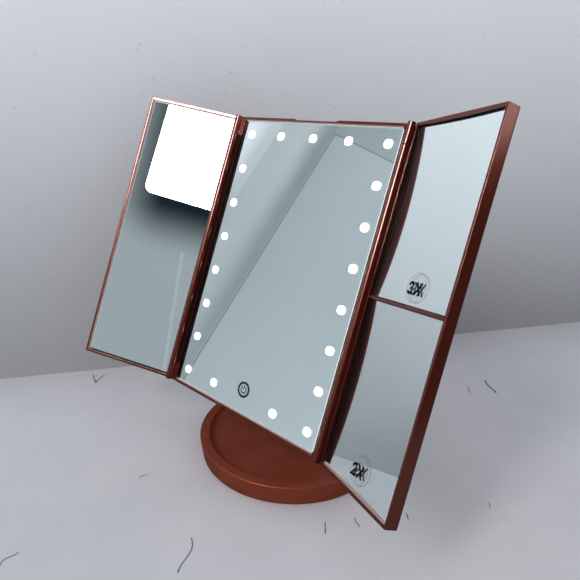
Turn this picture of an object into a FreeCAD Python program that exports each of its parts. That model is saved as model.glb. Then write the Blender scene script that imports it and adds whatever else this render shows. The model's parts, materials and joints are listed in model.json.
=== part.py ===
import FreeCAD, Part
import math
import os

# Trifold vanity mirror on a round tray base.
# Millimetres, +Z up, +X to the viewer's right, +Y away from the viewer.
# Origin: the middle of the footprint, on the plane that the rubber pad rests on.
#
# The centre panel is drawn upright in its own frame: x to the right, y to the back, z up the
# panel, with the origin at the middle of the front face of the centre glass.
# A wing is drawn open flat in its own frame: u outward from the hinge axis, v to the back, z up.

V = FreeCAD.Vector

# ---------------------------------------------------------------- centre glass and its frame
GLASS_HALF_W = 81.3      # centre glass, half width
GLASS_HALF_H = 120.6     # every pane of glass, half height of the opening it fills
GLASS_T = 2.0            # thickness of every pane
GLASS_BEVEL = 0.5        # ground edge of the flat panes
FIT = 0.2                # gap round a pane in its recess
LIP_PROUD = 1.4          # lips stand this far in front of the flat glass
LIP_W = 2.4              # width of the top and bottom lips
SIDE_LIP = 6.5           # width of the centre frame beside its glass
SEAT_W = 3.0             # width of the ledge that a flat pane is glued to
LEDGE_T = 1.6            # thickness of the centre ledge
LAMP_GAP = 2.6           # room for the lamps between the ledge and the deck
WALL = 2.0               # side walls of the centre panel
DECK_T = 1.8             # deck that closes the back of the centre frame
PANEL_CORNER = 1.5       # corner radius of the centre panel, seen from the front
NOTCH_HALF = 20.5        # finger notch in the top and bottom edges, half length
NOTCH_DEPTH = 1.0
NOTCH_REACH = 5.4        # how far back the notch runs
NOTCH_RAMP = 2.5         # length of its sloping ends
DECK_RIM = 30.0          # deck left beside the deck window
DECK_TOP_RIM = 26.0      # deck left above the window
DECK_FOOT_RIM = 35.0     # deck left below the window

# ---------------------------------------------------------------- rear cover
COVER_DEPTH = 10.6       # depth of the rear cover
BACK_ROUND = 3.0         # rounded back edges
RIB_T = 1.5
RIB_H = 3.0
RIB_ABOVE = 24.0         # upper rib, above the battery box
BOSS_HALF = 3.2          # square screw bosses on the deck, half width
BOSS_H = 4.8
BOSS_INSET_X = 8.0
BOSS_INSET_Z = 9.2
POST_HALF = 4.0          # square screw posts of the cover, half width
SCREW_R = 1.2            # shank of every small screw
SCREW_RUN = 0.4          # how much wider the hole in the clamped piece is
THREAD_FIT = 0.05        # shank in its pilot hole
HEAD_R = 2.7
HEAD_T = 1.8
HEAD_CLEAR = 0.2
HEAD_SEAT = 1.8          # plastic under a screw head
SCREW_BITE = 5.0         # length of shank beyond the clamped piece

# ---------------------------------------------------------------- lamps and electronics
LED_INSET_X = 10.35      # lamp columns, from the edge of the glass
LED_INSET_Z = 12.1       # lamp rows, from the top and bottom of the glass
LED_ROWS = 8
LED_W = 3.5
LED_H = 2.8
LED_T = 1.4
STRIP_W = 7.0
STRIP_T = 1.0
STRIP_OVER = 5.5         # strip beyond the last lamp
TOUCH_INSET = 18.6       # touch symbol, above the lower edge of the glass
TOUCH_R = 2.2            # touch spring
TOUCH_WIRE = 0.5
TOUCH_TURNS = 3.5
CHORDS = 10              # straight chords in one turn of a spring
BOARD_HALF_W = 24.0
BOARD_INSET = 3.6        # foot of the control board, above the lower edge of the glass
BOARD_H = 26.0
BOARD_T = 1.2
LEAD_R = 0.4
LEAD_X = 18.0
WIRE_W = 2.4             # flat two-core lead
WIRE_T = 1.2
WIRE_BEND = 6.0          # largest bend in a lead
WIRE_Y = 11.8            # depth at which the leads run

# ---------------------------------------------------------------- battery box
CELL_R = 5.2
CELL_L = 43.5
CELL_NUB_R = 1.8
CELL_NUB = 1.0
CELL_PITCH = 11.0
CELL_COUNT = 4
CELL_ROW_Z = 36.0        # middle of the row of cells
PLATE_T = 0.4
CELL_SPRING = 3.9        # length of a compressed battery spring
SPRING_R = 2.6
SPRING_WIRE = 0.5
SPRING_TURNS = 2.5
CELL_CLEAR = 0.3
BOX_WALL = 2.6
BOX_FLOOR = 1.2
DOOR_T = 1.6
DOOR_CLEAR = 0.3
STUB_R = 0.5             # stub pins at the foot of the door
STUB_L = 1.4
STUB_FIT = 0.05
THUMB_R = 6.0            # thumb scoop above the door
THUMB_DEPTH = 1.0

# ---------------------------------------------------------------- inlet and switch
USB_X = 45.0
USB_W = 8.0
USB_H = 2.8
USB_L = 6.3
USB_SKIN = 0.4
USB_MARGIN = 0.3
USB_BOARD_W = 14.0
USB_BOARD_L = 13.0
USB_STANDOFF = 1.5
SWITCH_IN = 28.0         # middle of the switch, in from the side of the cover
SWITCH_UP = 29.2         # middle of the switch, above the lower edge of the cover
SWITCH_W = 9.6
SWITCH_H = 5.0
SWITCH_T = 4.0
KNOB_W = 3.0
KNOB_H = 2.6
KNOB_PROUD = 0.6
KNOB_DEEP = 1.6
KNOB_TRAVEL = 3.0
KNOB_CLEAR = 0.3
SWITCH_DISH = 0.8        # shallow dish round the switch

# ---------------------------------------------------------------- wing hinges
SIDE_GAP = 0.8           # gap between the centre panel and an open wing
BARREL_R = 2.9
BARREL_CLEAR = 0.3
BARREL_LIFT = 2.2        # hinge axis in front of the lips
KNUCKLE_L = 16.2         # end knuckles on the centre frame
KNUCKLE_GAP = 0.3
PIN_R = 1.0
PIN_RUN = 0.05           # pin in the barrel of the wing
PIN_HOLD = 0.02          # pin in the knuckle of the frame
PIN_ENGAGE = 8.0
PIN_ROOT = 12.0
PIN_END_GAP = 0.3

# ---------------------------------------------------------------- wings
CLOSE_GAP = 1.0          # gap between the two wings when both are shut
WING_T = 9.2
WING_ROUND = 2.0
WING_CORNER_IN = 2.0
WING_CORNER_OUT = 1.0
WING_LIP_IN = 3.6
WING_LIP_OUT = 2.0
WING_BACK = 1.8
UPPER_RADIUS = 750.0     # concave surface of the upper right pane
LOWER_RADIUS = 1000.0    # concave surface of the lower right pane
DIVIDER_HALF = 0.9
DIVIDER_SINK = 0.2       # divider bar behind the lips
PAD = 5.0                # corner pads under the concave panes
FOAM_W = 12.0
FOAM_HALF_L = 85.0
FOAM_INSET = 14.0        # foam strips, from the edges of the pane
LABEL_R = 9.5
LABEL_T = 0.2
LABEL_GLUE = 0.28        # layer of glue between a label and its pane
UPPER_LABEL_IN = 36.7    # middle of the upper label, in from the outer wall of the recess
UPPER_LABEL_UP = 12.4    # and above the divider
LOWER_LABEL_IN = 40.6    # middle of the lower label, in from the outer wall of the recess
LOWER_LABEL_UP = 13.0    # and above the lower edge of the glass

# ---------------------------------------------------------------- tilt hinge
PIVOT_BACK = 27.0        # tilt axis behind the front of the glass
PIVOT_DOWN = 45.0        # tilt axis below the middle of the glass
PIVOT_Y = -14.3          # tilt axis over the base
PIVOT_Z = 124.2
HEAD_KNUCKLE_R = 8.0     # neck head and lugs
HEAD_HALF = 18.0         # neck head, half length
TILT_PIN_R = 2.5
TILT_RUN = 0.05          # pin in the neck head
TILT_HOLD = 0.02         # pin in the lugs
HEAD_GAP = 0.2           # running gap between the neck head and a lug
LUG_T = 7.0
LUG_FOOT = 14.0          # half length of a lug where it leaves the cover
PIN_HEAD_R = 4.5
PIN_HEAD_T = 2.2
POCKET_R = 5.0           # sunk ends of the lugs
POCKET_DEPTH = 3.5
PIN_STUB = 1.2           # end of the pin inside the mouth of its pocket

# ---------------------------------------------------------------- neck
NECK_FOOT_Y = 26.0       # middle of the neck foot behind the middle of the base
NECK_TOP_HALF = 16.0
NECK_FOOT_HALF = 23.0
NECK_T = 15.0
NECK_ROUND = 4.0
NECK_WALL = 2.4
NECK_SOLID_TOP = 14.0    # solid plastic below the head
NECK_SOLID_FOOT = 15.0   # solid plastic above the foot
NECK_SCREW_UPPER = 36.0  # joining screws, below the tilt axis
NECK_SCREW_LOWER = 82.0
NECK_BOSS_HALF = 4.2
NECK_SEAT = 3.4
FOOT_SCREW_Y = 4.0
FOOT_SCREW_BITE = 6.0

# ---------------------------------------------------------------- base
BASE_R = 86.0            # rim
BASE_FOOT_R = 84.0       # lower edge
BASE_H = 18.0
RIM_EASE = 1.0           # eased outer edge of the rim
WELL_R = 77.1
WELL_FLOOR = 11.0
COVE = 5.0               # radius of the cove between floor and wall
BASE_WALL = 2.2
PAD_T = 0.8              # rubber pad under the base
PAD_R = 62.0
POST_COUNT = 4           # posts that stop the bottom cover
POST_RING = 66.0
COVER_T = 2.0
WEIGHT_HALF = 42.0
WEIGHT_CLIP = 10.0
WEIGHT_T = 4.0
COVER_POST_HALF = 3.0
PLINTH_HALF_W = 27.0     # low plinth that the neck stands on
PLINTH_HALF_D = 13.5
PLINTH_H = 2.5
PLINTH_ROUND = 5.0

# ---------------------------------------------------------------- resting pose
TILT_REST = 22.9         # panel leans back
LEFT_SWING = 29.9        # wings stand forward of flat
RIGHT_SWING = 26.6

# ---------------------------------------------------------------- sizes that follow from these
PANEL_HALF_W = GLASS_HALF_W + FIT + SIDE_LIP
PANEL_HALF_H = GLASS_HALF_H + FIT + LIP_W
SWITCH_X = SWITCH_IN - PANEL_HALF_W
SWITCH_Z = SWITCH_UP - PANEL_HALF_H
LEDGE_BACK = GLASS_T + LEDGE_T
DECK_Y = LEDGE_BACK + LAMP_GAP
SPLIT_Y = DECK_Y + DECK_T
REAR_Y = SPLIT_Y + COVER_DEPTH
COVER_IN = REAR_Y - WALL
STRIP_Y = DECK_Y - STRIP_T
LED_X = GLASS_HALF_W - LED_INSET_X
LED_Z = GLASS_HALF_H - LED_INSET_Z
TOUCH_Z = TOUCH_INSET - GLASS_HALF_H
BOARD_FOOT = BOARD_INSET - GLASS_HALF_H
BOARD_TOP = BOARD_FOOT + BOARD_H
HINGE_X = PANEL_HALF_W + SIDE_GAP / 2
HINGE_Y = -LIP_PROUD - BARREL_LIFT
KNUCKLE_Z = PANEL_HALF_H - KNUCKLE_L
BOSS_X = PANEL_HALF_W - BOSS_INSET_X
BOSS_Z = PANEL_HALF_H - BOSS_INSET_Z
BOSS_TOP = SPLIT_Y + BOSS_H

CELL_SPAN = CELL_L + CELL_NUB + CELL_SPRING
BOX_HALF = CELL_SPAN / 2 + PLATE_T
BOX_HALF_Z = (CELL_COUNT - 1) * CELL_PITCH / 2 + CELL_R + CELL_CLEAR
DOOR_SEAT = REAR_Y - DOOR_T - DOOR_CLEAR
CELL_Y = DOOR_SEAT - CELL_CLEAR * 3 - CELL_R
BOX_FRONT = CELL_Y - CELL_R - CELL_CLEAR / 3
DOOR_HALF = BOX_HALF + BOX_WALL
DOOR_HALF_Z = BOX_HALF_Z + BOX_WALL
DOOR_AXIS_Y = REAR_Y - DOOR_T / 2
DOOR_AXIS_Z = CELL_ROW_Z - DOOR_HALF_Z + DOOR_CLEAR + DOOR_T / 2

WING_IN = SIDE_GAP / 2
WING_OUT = HINGE_X - CLOSE_GAP / 2
WING_FRONT = BARREL_LIFT
WING_REAR = WING_FRONT + WING_T
WING_FLOOR = WING_REAR - WING_BACK
PANE_FRONT = WING_FRONT + LIP_PROUD
PANE_BACK = PANE_FRONT + GLASS_T
POCKET_IN = WING_IN + WING_LIP_IN
POCKET_OUT = WING_OUT - WING_LIP_OUT
POCKET_Z = GLASS_HALF_H + FIT
PANE_U = (POCKET_IN + POCKET_OUT) / 2
PANE_HALF_U = (POCKET_OUT - POCKET_IN) / 2 - FIT
UPPER_LABEL_U = POCKET_OUT - UPPER_LABEL_IN
UPPER_LABEL_Z = DIVIDER_HALF + UPPER_LABEL_UP
LOWER_LABEL_U = POCKET_OUT - LOWER_LABEL_IN
LOWER_LABEL_Z = LOWER_LABEL_UP - GLASS_HALF_H
PANE_FOOT = DIVIDER_HALF + FIT
PANE_MID = (GLASS_HALF_H + PANE_FOOT) / 2
PANE_HALF_Z = (GLASS_HALF_H - PANE_FOOT) / 2

LUG_IN = HEAD_HALF + HEAD_GAP
LUG_OUT = LUG_IN + LUG_T
POCKET_FLOOR = LUG_OUT - POCKET_DEPTH

PLINTH_TOP = WELL_FLOOR + PLINTH_H
NECK_RISE = PIVOT_Z - PLINTH_TOP
NECK_RUN = NECK_FOOT_Y - PIVOT_Y
NECK_LEAN = math.degrees(math.atan2(NECK_RUN, NECK_RISE))
NECK_LENGTH = math.hypot(NECK_RUN, NECK_RISE)
COVER_TOP = PAD_T + COVER_T
FLOOR_UNDER = WELL_FLOOR - BASE_WALL


# ---------------------------------------------------------------- drawing helpers
def block(x0, x1, y0, y1, z0, z1):
    return Part.makeBox(x1 - x0, y1 - y0, z1 - z0, V(x0, y0, z0))


def rod(radius, start, end):
    start = V(*start)
    run = V(*end) - start
    return Part.makeCylinder(radius, run.Length, start, run)


def joined(shapes):
    shapes = list(shapes)
    whole = shapes[0].fuse(shapes[1:]) if len(shapes) > 1 else shapes[0]
    return whole.removeSplitter()


def group(shapes):
    return Part.makeCompound(list(shapes))


def on_plane(axis, a, b, level):
    if axis == "x":
        return V(level, a, b)
    if axis == "y":
        return V(a, level, b)
    return V(a, b, level)


def outline(axis, corners, level):
    """Flat face whose outline has a radius at each corner (a, b, r)."""
    edges = []
    ends = []
    count = len(corners)
    for index in range(count):
        a, b, radius = corners[index]
        here = on_plane(axis, a, b, level)
        before = on_plane(axis, corners[index - 1][0], corners[index - 1][1], level)
        after = on_plane(axis, corners[(index + 1) % count][0], corners[(index + 1) % count][1], level)
        if radius <= 0:
            ends.append((here, here))
            continue
        back = (before - here).normalize()
        ahead = (after - here).normalize()
        half = back.getAngle(ahead) / 2
        reach = radius / math.tan(half)
        inward = (back + ahead).normalize()
        middle = here + inward * (radius / math.sin(half) - radius)
        first = here + back * reach
        last = here + ahead * reach
        edges.append(Part.Arc(first, middle, last).toShape())
        ends.append((first, last))
    for index in range(count):
        start = ends[index][1]
        stop = ends[(index + 1) % count][0]
        if (stop - start).Length > 1e-6:
            edges.append(Part.LineSegment(start, stop).toShape())
    return Part.Face(Part.Wire(Part.__sortEdges__(edges)))


def prism(axis, corners, lo, hi):
    """Solid from lo to hi along an axis."""
    return outline(axis, corners, lo).extrude(on_plane(axis, 0, 0, hi - lo))


def rectangle(a0, a1, b0, b1, radius=0.0):
    return [(a0, b0, radius), (a1, b0, radius), (a1, b1, radius), (a0, b1, radius)]


def cushion(x0, x1, y0, y1, half_z, back_round, corner_in, corner_out):
    """Slab whose back edges are rounded and whose corners are rounded as seen from the front."""
    front_view = [(x0, -half_z, corner_in), (x1, -half_z, corner_out),
                  (x1, half_z, corner_out), (x0, half_z, corner_in)]
    top_view = [(x0, y0, 0), (x1, y0, 0), (x1, y1, back_round), (x0, y1, back_round)]
    side_view = [(y0, -half_z, 0), (y1, -half_z, back_round), (y1, half_z, back_round), (y0, half_z, 0)]
    slab = prism("y", front_view, y0, y1)
    slab = slab.common(prism("z", top_view, -half_z, half_z))
    return slab.common(prism("x", side_view, x0, x1))


def hexagon(radius, a, b):
    return [(a + radius * math.cos(math.radians(60 * k)), b + radius * math.sin(math.radians(60 * k)), 0)
            for k in range(6)]


def coil(radius, height, turns, wire):
    """Spring of square wire that stands on the plane z = 0, wound in short straight chords."""
    half = wire / 2
    steps = max(int(round(turns * CHORDS)), 3)
    points = []
    for step in range(steps + 1):
        angle = 2 * math.pi * turns * step / steps
        level = half + (height - wire) * step / steps
        points.append(V(radius * math.cos(angle), radius * math.sin(angle), level))
    run = (points[1] - points[0]).normalize()
    across = run.cross(V(0, 0, 1)).normalize()
    above = across.cross(run)
    ring = [points[0] + across * (half * a) + above * (half * b)
            for a, b in ((-1, -1), (1, -1), (1, 1), (-1, 1), (-1, -1))]
    path = Part.makePolygon(points)
    spring = path.makePipeShell([Part.makePolygon(ring)], True, False, 1)
    floor = Part.makeCylinder(radius * 2, height, V(0, 0, 0))
    return spring.common(floor)


def lead(points, wide):
    """Flat two-core lead along straight runs joined by tangent arcs; its width lies along wide."""
    points = [V(*point) for point in points]
    edges = []
    start = points[0]
    for before, corner, after in zip(points, points[1:], points[2:]):
        back = before - corner
        ahead = after - corner
        shorter = min(back.Length, ahead.Length)
        half = back.getAngle(ahead) / 2
        bend = min(0.45 * shorter * math.tan(half), WIRE_BEND)
        back.normalize()
        ahead.normalize()
        reach = bend / math.tan(half)
        inward = (back + ahead).normalize()
        middle = corner + inward * (bend / math.sin(half) - bend)
        first = corner + back * reach
        last = corner + ahead * reach
        edges.append(Part.LineSegment(start, first).toShape())
        edges.append(Part.Arc(first, middle, last).toShape())
        start = last
    edges.append(Part.LineSegment(start, points[-1]).toShape())
    run = (points[1] - points[0]).normalize()
    above = run.cross(wide).normalize()
    across = above.cross(run)
    ring = [points[0] + across * (a * WIRE_W / 2) + above * (b * WIRE_T / 2)
            for a, b in ((-1, -1), (1, -1), (1, 1), (-1, 1), (-1, -1))]
    return Part.Wire(edges).makePipeShell([Part.makePolygon(ring)], True, False)


def both_sides(shape):
    return [shape, shape.mirror(V(0, 0, 0), V(1, 0, 0))]


def both_ends(shape):
    return [shape, shape.mirror(V(0, 0, 0), V(0, 0, 1))]


def screw(head_at, tip_at, head_t=HEAD_T):
    """Pan-head screw; the underside of its head is at head_at."""
    run = (V(*head_at) - V(*tip_at)).normalize()
    head = Part.makeCylinder(HEAD_R, head_t, V(*head_at), run)
    return joined([head, rod(SCREW_R, tip_at, head_at)])


# ---------------------------------------------------------------- placing
def on_panel(shape):
    placed = shape.copy()
    placed.translate(V(0, -PIVOT_BACK, PIVOT_DOWN))
    placed.rotate(V(0, 0, 0), V(1, 0, 0), -TILT_REST)
    placed.translate(V(0, PIVOT_Y, PIVOT_Z))
    return placed


def on_right_wing(shape):
    placed = shape.copy()
    placed.rotate(V(0, 0, 0), V(0, 0, 1), -RIGHT_SWING)
    placed.translate(V(HINGE_X, HINGE_Y, 0))
    return on_panel(placed)


def on_left_wing(shape):
    placed = shape.mirror(V(0, 0, 0), V(1, 0, 0))
    placed.rotate(V(0, 0, 0), V(0, 0, 1), LEFT_SWING)
    placed.translate(V(-HINGE_X, HINGE_Y, 0))
    return on_panel(placed)


def on_neck(shape):
    placed = shape.copy()
    placed.rotate(V(0, 0, 0), V(1, 0, 0), NECK_LEAN)
    placed.translate(V(0, PIVOT_Y, PIVOT_Z))
    return placed


# ---------------------------------------------------------------- centre panel
def boss_places():
    return [(x, z) for x in (-BOSS_X, BOSS_X) for z in (-BOSS_Z, BOSS_Z)]


def pillar(half, x, z, y0, y1):
    return block(x - half, x + half, y0, y1, z - half, z + half)


def hinge_line(radius, z0, z1):
    return rod(radius, (HINGE_X, HINGE_Y, z0), (HINGE_X, HINGE_Y, z1))


def end_knuckle():
    """Short fixed knuckle at the top of the right-hand hinge, with the web that carries it."""
    knuckle = hinge_line(BARREL_R, KNUCKLE_Z, PANEL_HALF_H)
    web = block(HINGE_X - BARREL_R, HINGE_X, HINGE_Y, -LIP_PROUD + 0.1, KNUCKLE_Z, PANEL_HALF_H)
    return joined([knuckle, web])


def finger_notch():
    top = PANEL_HALF_H + 1.0
    low = PANEL_HALF_H - NOTCH_DEPTH
    outer = NOTCH_HALF + NOTCH_RAMP
    corners = [(-NOTCH_HALF, low, 0), (NOTCH_HALF, low, 0), (outer, PANEL_HALF_H, 0),
               (outer, top, 0), (-outer, top, 0), (-outer, PANEL_HALF_H, 0)]
    return prism("y", corners, -LIP_PROUD - 1.0, -LIP_PROUD + NOTCH_REACH)


def center_frame():
    body = prism("y", rectangle(-PANEL_HALF_W, PANEL_HALF_W, -PANEL_HALF_H, PANEL_HALF_H, PANEL_CORNER),
                 -LIP_PROUD, SPLIT_Y)
    seat_w = GLASS_HALF_W + FIT
    seat_h = GLASS_HALF_H + FIT
    body = body.cut(block(-seat_w, seat_w, -LIP_PROUD - 1, GLASS_T, -seat_h, seat_h))
    body = body.cut(block(SEAT_W - seat_w, seat_w - SEAT_W, -LIP_PROUD, LEDGE_BACK + 1,
                          SEAT_W - seat_h, seat_h - SEAT_W))
    room_w = PANEL_HALF_W - WALL
    room_h = PANEL_HALF_H - WALL
    body = body.cut(block(-room_w, room_w, LEDGE_BACK, DECK_Y, -room_h, room_h))
    body = body.cut(prism("y", rectangle(WALL + DECK_RIM - PANEL_HALF_W, PANEL_HALF_W - WALL - DECK_RIM,
                                         WALL + DECK_FOOT_RIM - PANEL_HALF_H,
                                         PANEL_HALF_H - WALL - DECK_TOP_RIM, 4.0),
                          DECK_Y - 1, SPLIT_Y + 1))
    channel = hinge_line(BARREL_R + BARREL_CLEAR, -KNUCKLE_Z, KNUCKLE_Z)
    body = body.cut(both_sides(channel))
    body = body.cut(both_ends(finger_notch()))
    knuckles = [k for side in both_sides(end_knuckle()) for k in both_ends(side)]
    bosses = [pillar(BOSS_HALF, x, z, DECK_Y + 0.5, BOSS_TOP) for x, z in boss_places()]
    body = joined([body] + knuckles + bosses)
    pilots = [rod(SCREW_R + THREAD_FIT, (x, BOSS_TOP - SCREW_BITE - 0.4, z), (x, BOSS_TOP + 1, z))
              for x, z in boss_places()]
    pin_hole = hinge_line(PIN_R + PIN_HOLD, KNUCKLE_Z - 1, KNUCKLE_Z + PIN_ROOT + PIN_END_GAP)
    pin_holes = [k for side in both_sides(pin_hole) for k in both_ends(side)]
    spring_hole = rod(TOUCH_R + 1.0, (0, DECK_Y - 1, TOUCH_Z), (0, SPLIT_Y + 1, TOUCH_Z))
    slot = LEAD_R * 2
    lead_holes = [block(x - slot, x + slot, DECK_Y - 1, SPLIT_Y + 1, -LED_Z - slot, -LED_Z + slot)
                  for x in (-LEAD_X, LEAD_X)]
    return body.cut(pilots + pin_holes + [spring_hole] + lead_holes)


def flat_pane(x0, x1, front, half_z):
    pane = block(x0, x1, front, front + GLASS_T, -half_z, half_z)
    rim = [edge for edge in pane.Edges if abs(edge.BoundBox.YMax - front) < 1e-4]
    return pane.makeChamfer(GLASS_BEVEL, rim)


def center_mirror():
    return flat_pane(-GLASS_HALF_W, GLASS_HALF_W, 0.0, GLASS_HALF_H)


def lamp_places():
    pitch = 2 * LED_Z / (LED_ROWS - 1)
    places = [(side * LED_X, -LED_Z + pitch * row) for side in (-1, 1) for row in range(LED_ROWS)]
    places += [(x, LED_Z) for x in (-LED_X / 2, 0.0, LED_X / 2)]
    places += [(x, -LED_Z) for x in (-LED_X / 2, LED_X / 2)]
    return places


def led_strips():
    half = STRIP_W / 2
    side = block(LED_X - half, LED_X + half, STRIP_Y, DECK_Y, -LED_Z - STRIP_OVER, LED_Z + STRIP_OVER)
    cross = block(half - LED_X, LED_X - half, STRIP_Y, DECK_Y, LED_Z - half, LED_Z + half)
    return group(both_sides(side) + both_ends(cross))


def leds():
    return group([block(x - LED_W / 2, x + LED_W / 2, STRIP_Y - LED_T, STRIP_Y,
                        z - LED_H / 2, z + LED_H / 2) for x, z in lamp_places()])


def led_leads():
    return group([block(x - LEAD_R, x + LEAD_R, DECK_Y, SPLIT_Y, -LED_Z - LEAD_R, -LED_Z + LEAD_R)
                  for x in (-LEAD_X, LEAD_X)])


def touch_spring():
    spring = coil(TOUCH_R, SPLIT_Y - GLASS_T, TOUCH_TURNS, TOUCH_WIRE)
    spring.rotate(V(0, 0, 0), V(1, 0, 0), -90)
    spring.translate(V(0, GLASS_T, TOUCH_Z))
    return spring


def control_board():
    face = SPLIT_Y + BOARD_T
    board = prism("y", rectangle(-BOARD_HALF_W, BOARD_HALF_W, BOARD_FOOT, BOARD_TOP, 1.0), SPLIT_Y, face)
    mid = (BOARD_TOP + BOARD_FOOT) / 2
    chip = block(1.0, 10.0, face - 0.1, face + 1.5, mid - 6.5, mid + 0.5)
    choke = block(-8.0, -2.0, face - 0.1, face + 2.6, mid - 8.0, mid - 2.0)
    socket = block(-12.0, -2.0, face - 0.1, face + 2.2, BOARD_TOP - 6.0, BOARD_TOP - 1.0)
    return joined([board, chip, choke, socket])


# ---------------------------------------------------------------- rear cover
def lug():
    """Lug on the right of the neck head, run out to a broad foot on the cover."""
    reach = PIVOT_BACK - COVER_IN - 0.5
    span = math.hypot(reach, LUG_FOOT)
    turn = math.atan2(LUG_FOOT, -reach) - math.acos(HEAD_KNUCKLE_R / span)
    touch_y = PIVOT_BACK + HEAD_KNUCKLE_R * math.cos(turn)
    touch_z = HEAD_KNUCKLE_R * math.sin(turn)
    foot = COVER_IN + 0.5
    corners = [(foot, -PIVOT_DOWN - LUG_FOOT, 0), (touch_y, -PIVOT_DOWN - touch_z, 0),
               (PIVOT_BACK, -PIVOT_DOWN, 0), (touch_y, -PIVOT_DOWN + touch_z, 0),
               (foot, -PIVOT_DOWN + LUG_FOOT, 0)]
    plate = prism("x", corners, LUG_IN, LUG_OUT)
    eye = rod(HEAD_KNUCKLE_R, (LUG_IN, PIVOT_BACK, -PIVOT_DOWN), (LUG_OUT, PIVOT_BACK, -PIVOT_DOWN))
    return joined([plate, eye])


def tilt_line(radius, x0, x1):
    return rod(radius, (x0, PIVOT_BACK, -PIVOT_DOWN), (x1, PIVOT_BACK, -PIVOT_DOWN))


def battery_walls():
    low = CELL_ROW_Z - DOOR_HALF_Z
    high = CELL_ROW_Z + DOOR_HALF_Z
    return prism("y", rectangle(-DOOR_HALF, DOOR_HALF, low, high, 1.0), BOX_FRONT - BOX_FLOOR, COVER_IN + 1)


def battery_room():
    low = CELL_ROW_Z - BOX_HALF_Z
    high = CELL_ROW_Z + BOX_HALF_Z
    return block(-BOX_HALF, BOX_HALF, BOX_FRONT, REAR_Y + 1, low, high)


def door_recess():
    low = CELL_ROW_Z - DOOR_HALF_Z
    high = CELL_ROW_Z + DOOR_HALF_Z
    return prism("y", rectangle(-DOOR_HALF, DOOR_HALF, low, high, 0), DOOR_SEAT, REAR_Y + 1)


def thumb_scoop():
    top = CELL_ROW_Z + DOOR_HALF_Z
    return rod(THUMB_R, (0, REAR_Y - THUMB_DEPTH, top), (0, REAR_Y + 1, top))


def knob_slot(deep, margin):
    half_x = (KNOB_W + KNOB_TRAVEL) / 2 + KNOB_CLEAR + margin
    half_z = KNOB_H / 2 + KNOB_CLEAR + margin
    return block(SWITCH_X - half_x, SWITCH_X + half_x, deep, REAR_Y + 1,
                 SWITCH_Z - half_z, SWITCH_Z + half_z)


def rear_cover():
    body = cushion(-PANEL_HALF_W, PANEL_HALF_W, SPLIT_Y, REAR_Y, PANEL_HALF_H,
                   BACK_ROUND, PANEL_CORNER, PANEL_CORNER)
    room_w = PANEL_HALF_W - WALL
    room_h = PANEL_HALF_H - WALL
    body = body.cut(block(-room_w, room_w, SPLIT_Y - 1, COVER_IN, -room_h, room_h))
    posts = [pillar(POST_HALF, x, z, BOSS_TOP, COVER_IN + 0.5) for x, z in boss_places()]
    span = PANEL_HALF_W - WALL
    ribs = [block(-span, span, COVER_IN - RIB_H, COVER_IN + 0.5, z - RIB_T / 2, z + RIB_T / 2)
            for z in (-PIVOT_DOWN - LUG_FOOT, CELL_ROW_Z + DOOR_HALF_Z + RIB_ABOVE)]
    usb_y = COVER_IN - USB_STANDOFF
    feet = [block(USB_X + x - 1.0, USB_X + x + 1.0, usb_y, COVER_IN + 0.5,
                  -PANEL_HALF_H + WALL, -PANEL_HALF_H + WALL + USB_BOARD_L - 1.0)
            for x in (-USB_BOARD_W / 2 + 1.5, USB_BOARD_W / 2 - 1.5)]
    body = joined([body, battery_walls()] + both_sides(lug()) + posts + ribs + feet)
    cuts = [battery_room(), door_recess(), thumb_scoop(), knob_slot(COVER_IN - 1, 0.0)]
    dish = knob_slot(REAR_Y - SWITCH_DISH, 2.5)
    cuts.append(dish)
    for x, z in boss_places():
        cuts.append(rod(SCREW_R + SCREW_RUN, (x, BOSS_TOP - 1, z), (x, REAR_Y + 1, z)))
        cuts.append(rod(HEAD_R + HEAD_CLEAR, (x, BOSS_TOP + HEAD_SEAT, z), (x, REAR_Y + 1, z)))
    cuts.append(tilt_line(TILT_PIN_R + TILT_HOLD, -LUG_OUT - 1, LUG_OUT + 1))
    cuts += both_sides(tilt_line(POCKET_R, POCKET_FLOOR, LUG_OUT + 1))
    stub = rod(STUB_R + STUB_FIT, (DOOR_HALF - 0.5, DOOR_AXIS_Y, DOOR_AXIS_Z),
               (DOOR_HALF + STUB_L, DOOR_AXIS_Y, DOOR_AXIS_Z))
    cuts += both_sides(stub)
    mouth_y = usb_y - BOARD_T - USB_H / 2
    cuts.append(block(USB_X - USB_W / 2 - USB_MARGIN, USB_X + USB_W / 2 + USB_MARGIN,
                      mouth_y - USB_H / 2 - USB_MARGIN, mouth_y + USB_H / 2 + USB_MARGIN,
                      -PANEL_HALF_H - 1, -PANEL_HALF_H + WALL + 1))
    return body.cut(cuts)


def rear_screws():
    return group([screw((x, BOSS_TOP + HEAD_SEAT, z), (x, BOSS_TOP - SCREW_BITE, z))
                  for x, z in boss_places()])


def cell_line(index):
    return CELL_ROW_Z + (index - (CELL_COUNT - 1) / 2) * CELL_PITCH


def cell_sense(index):
    return 1 if index % 2 == 0 else -1


def battery_cells():
    cells = []
    for index in range(CELL_COUNT):
        z = cell_line(index)
        sense = cell_sense(index)
        tail = -sense * (CELL_SPAN / 2 - CELL_SPRING)
        shoulder = tail + sense * CELL_L
        jacket = rod(CELL_R, (tail, CELL_Y, z), (shoulder, CELL_Y, z))
        inner = shoulder - sense * 0.2
        tip = shoulder + sense * CELL_NUB
        nub = prism("x", hexagon(CELL_NUB_R, CELL_Y, z), min(inner, tip), max(inner, tip))
        cells.append(joined([jacket, nub]))
    return group(cells)


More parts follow.
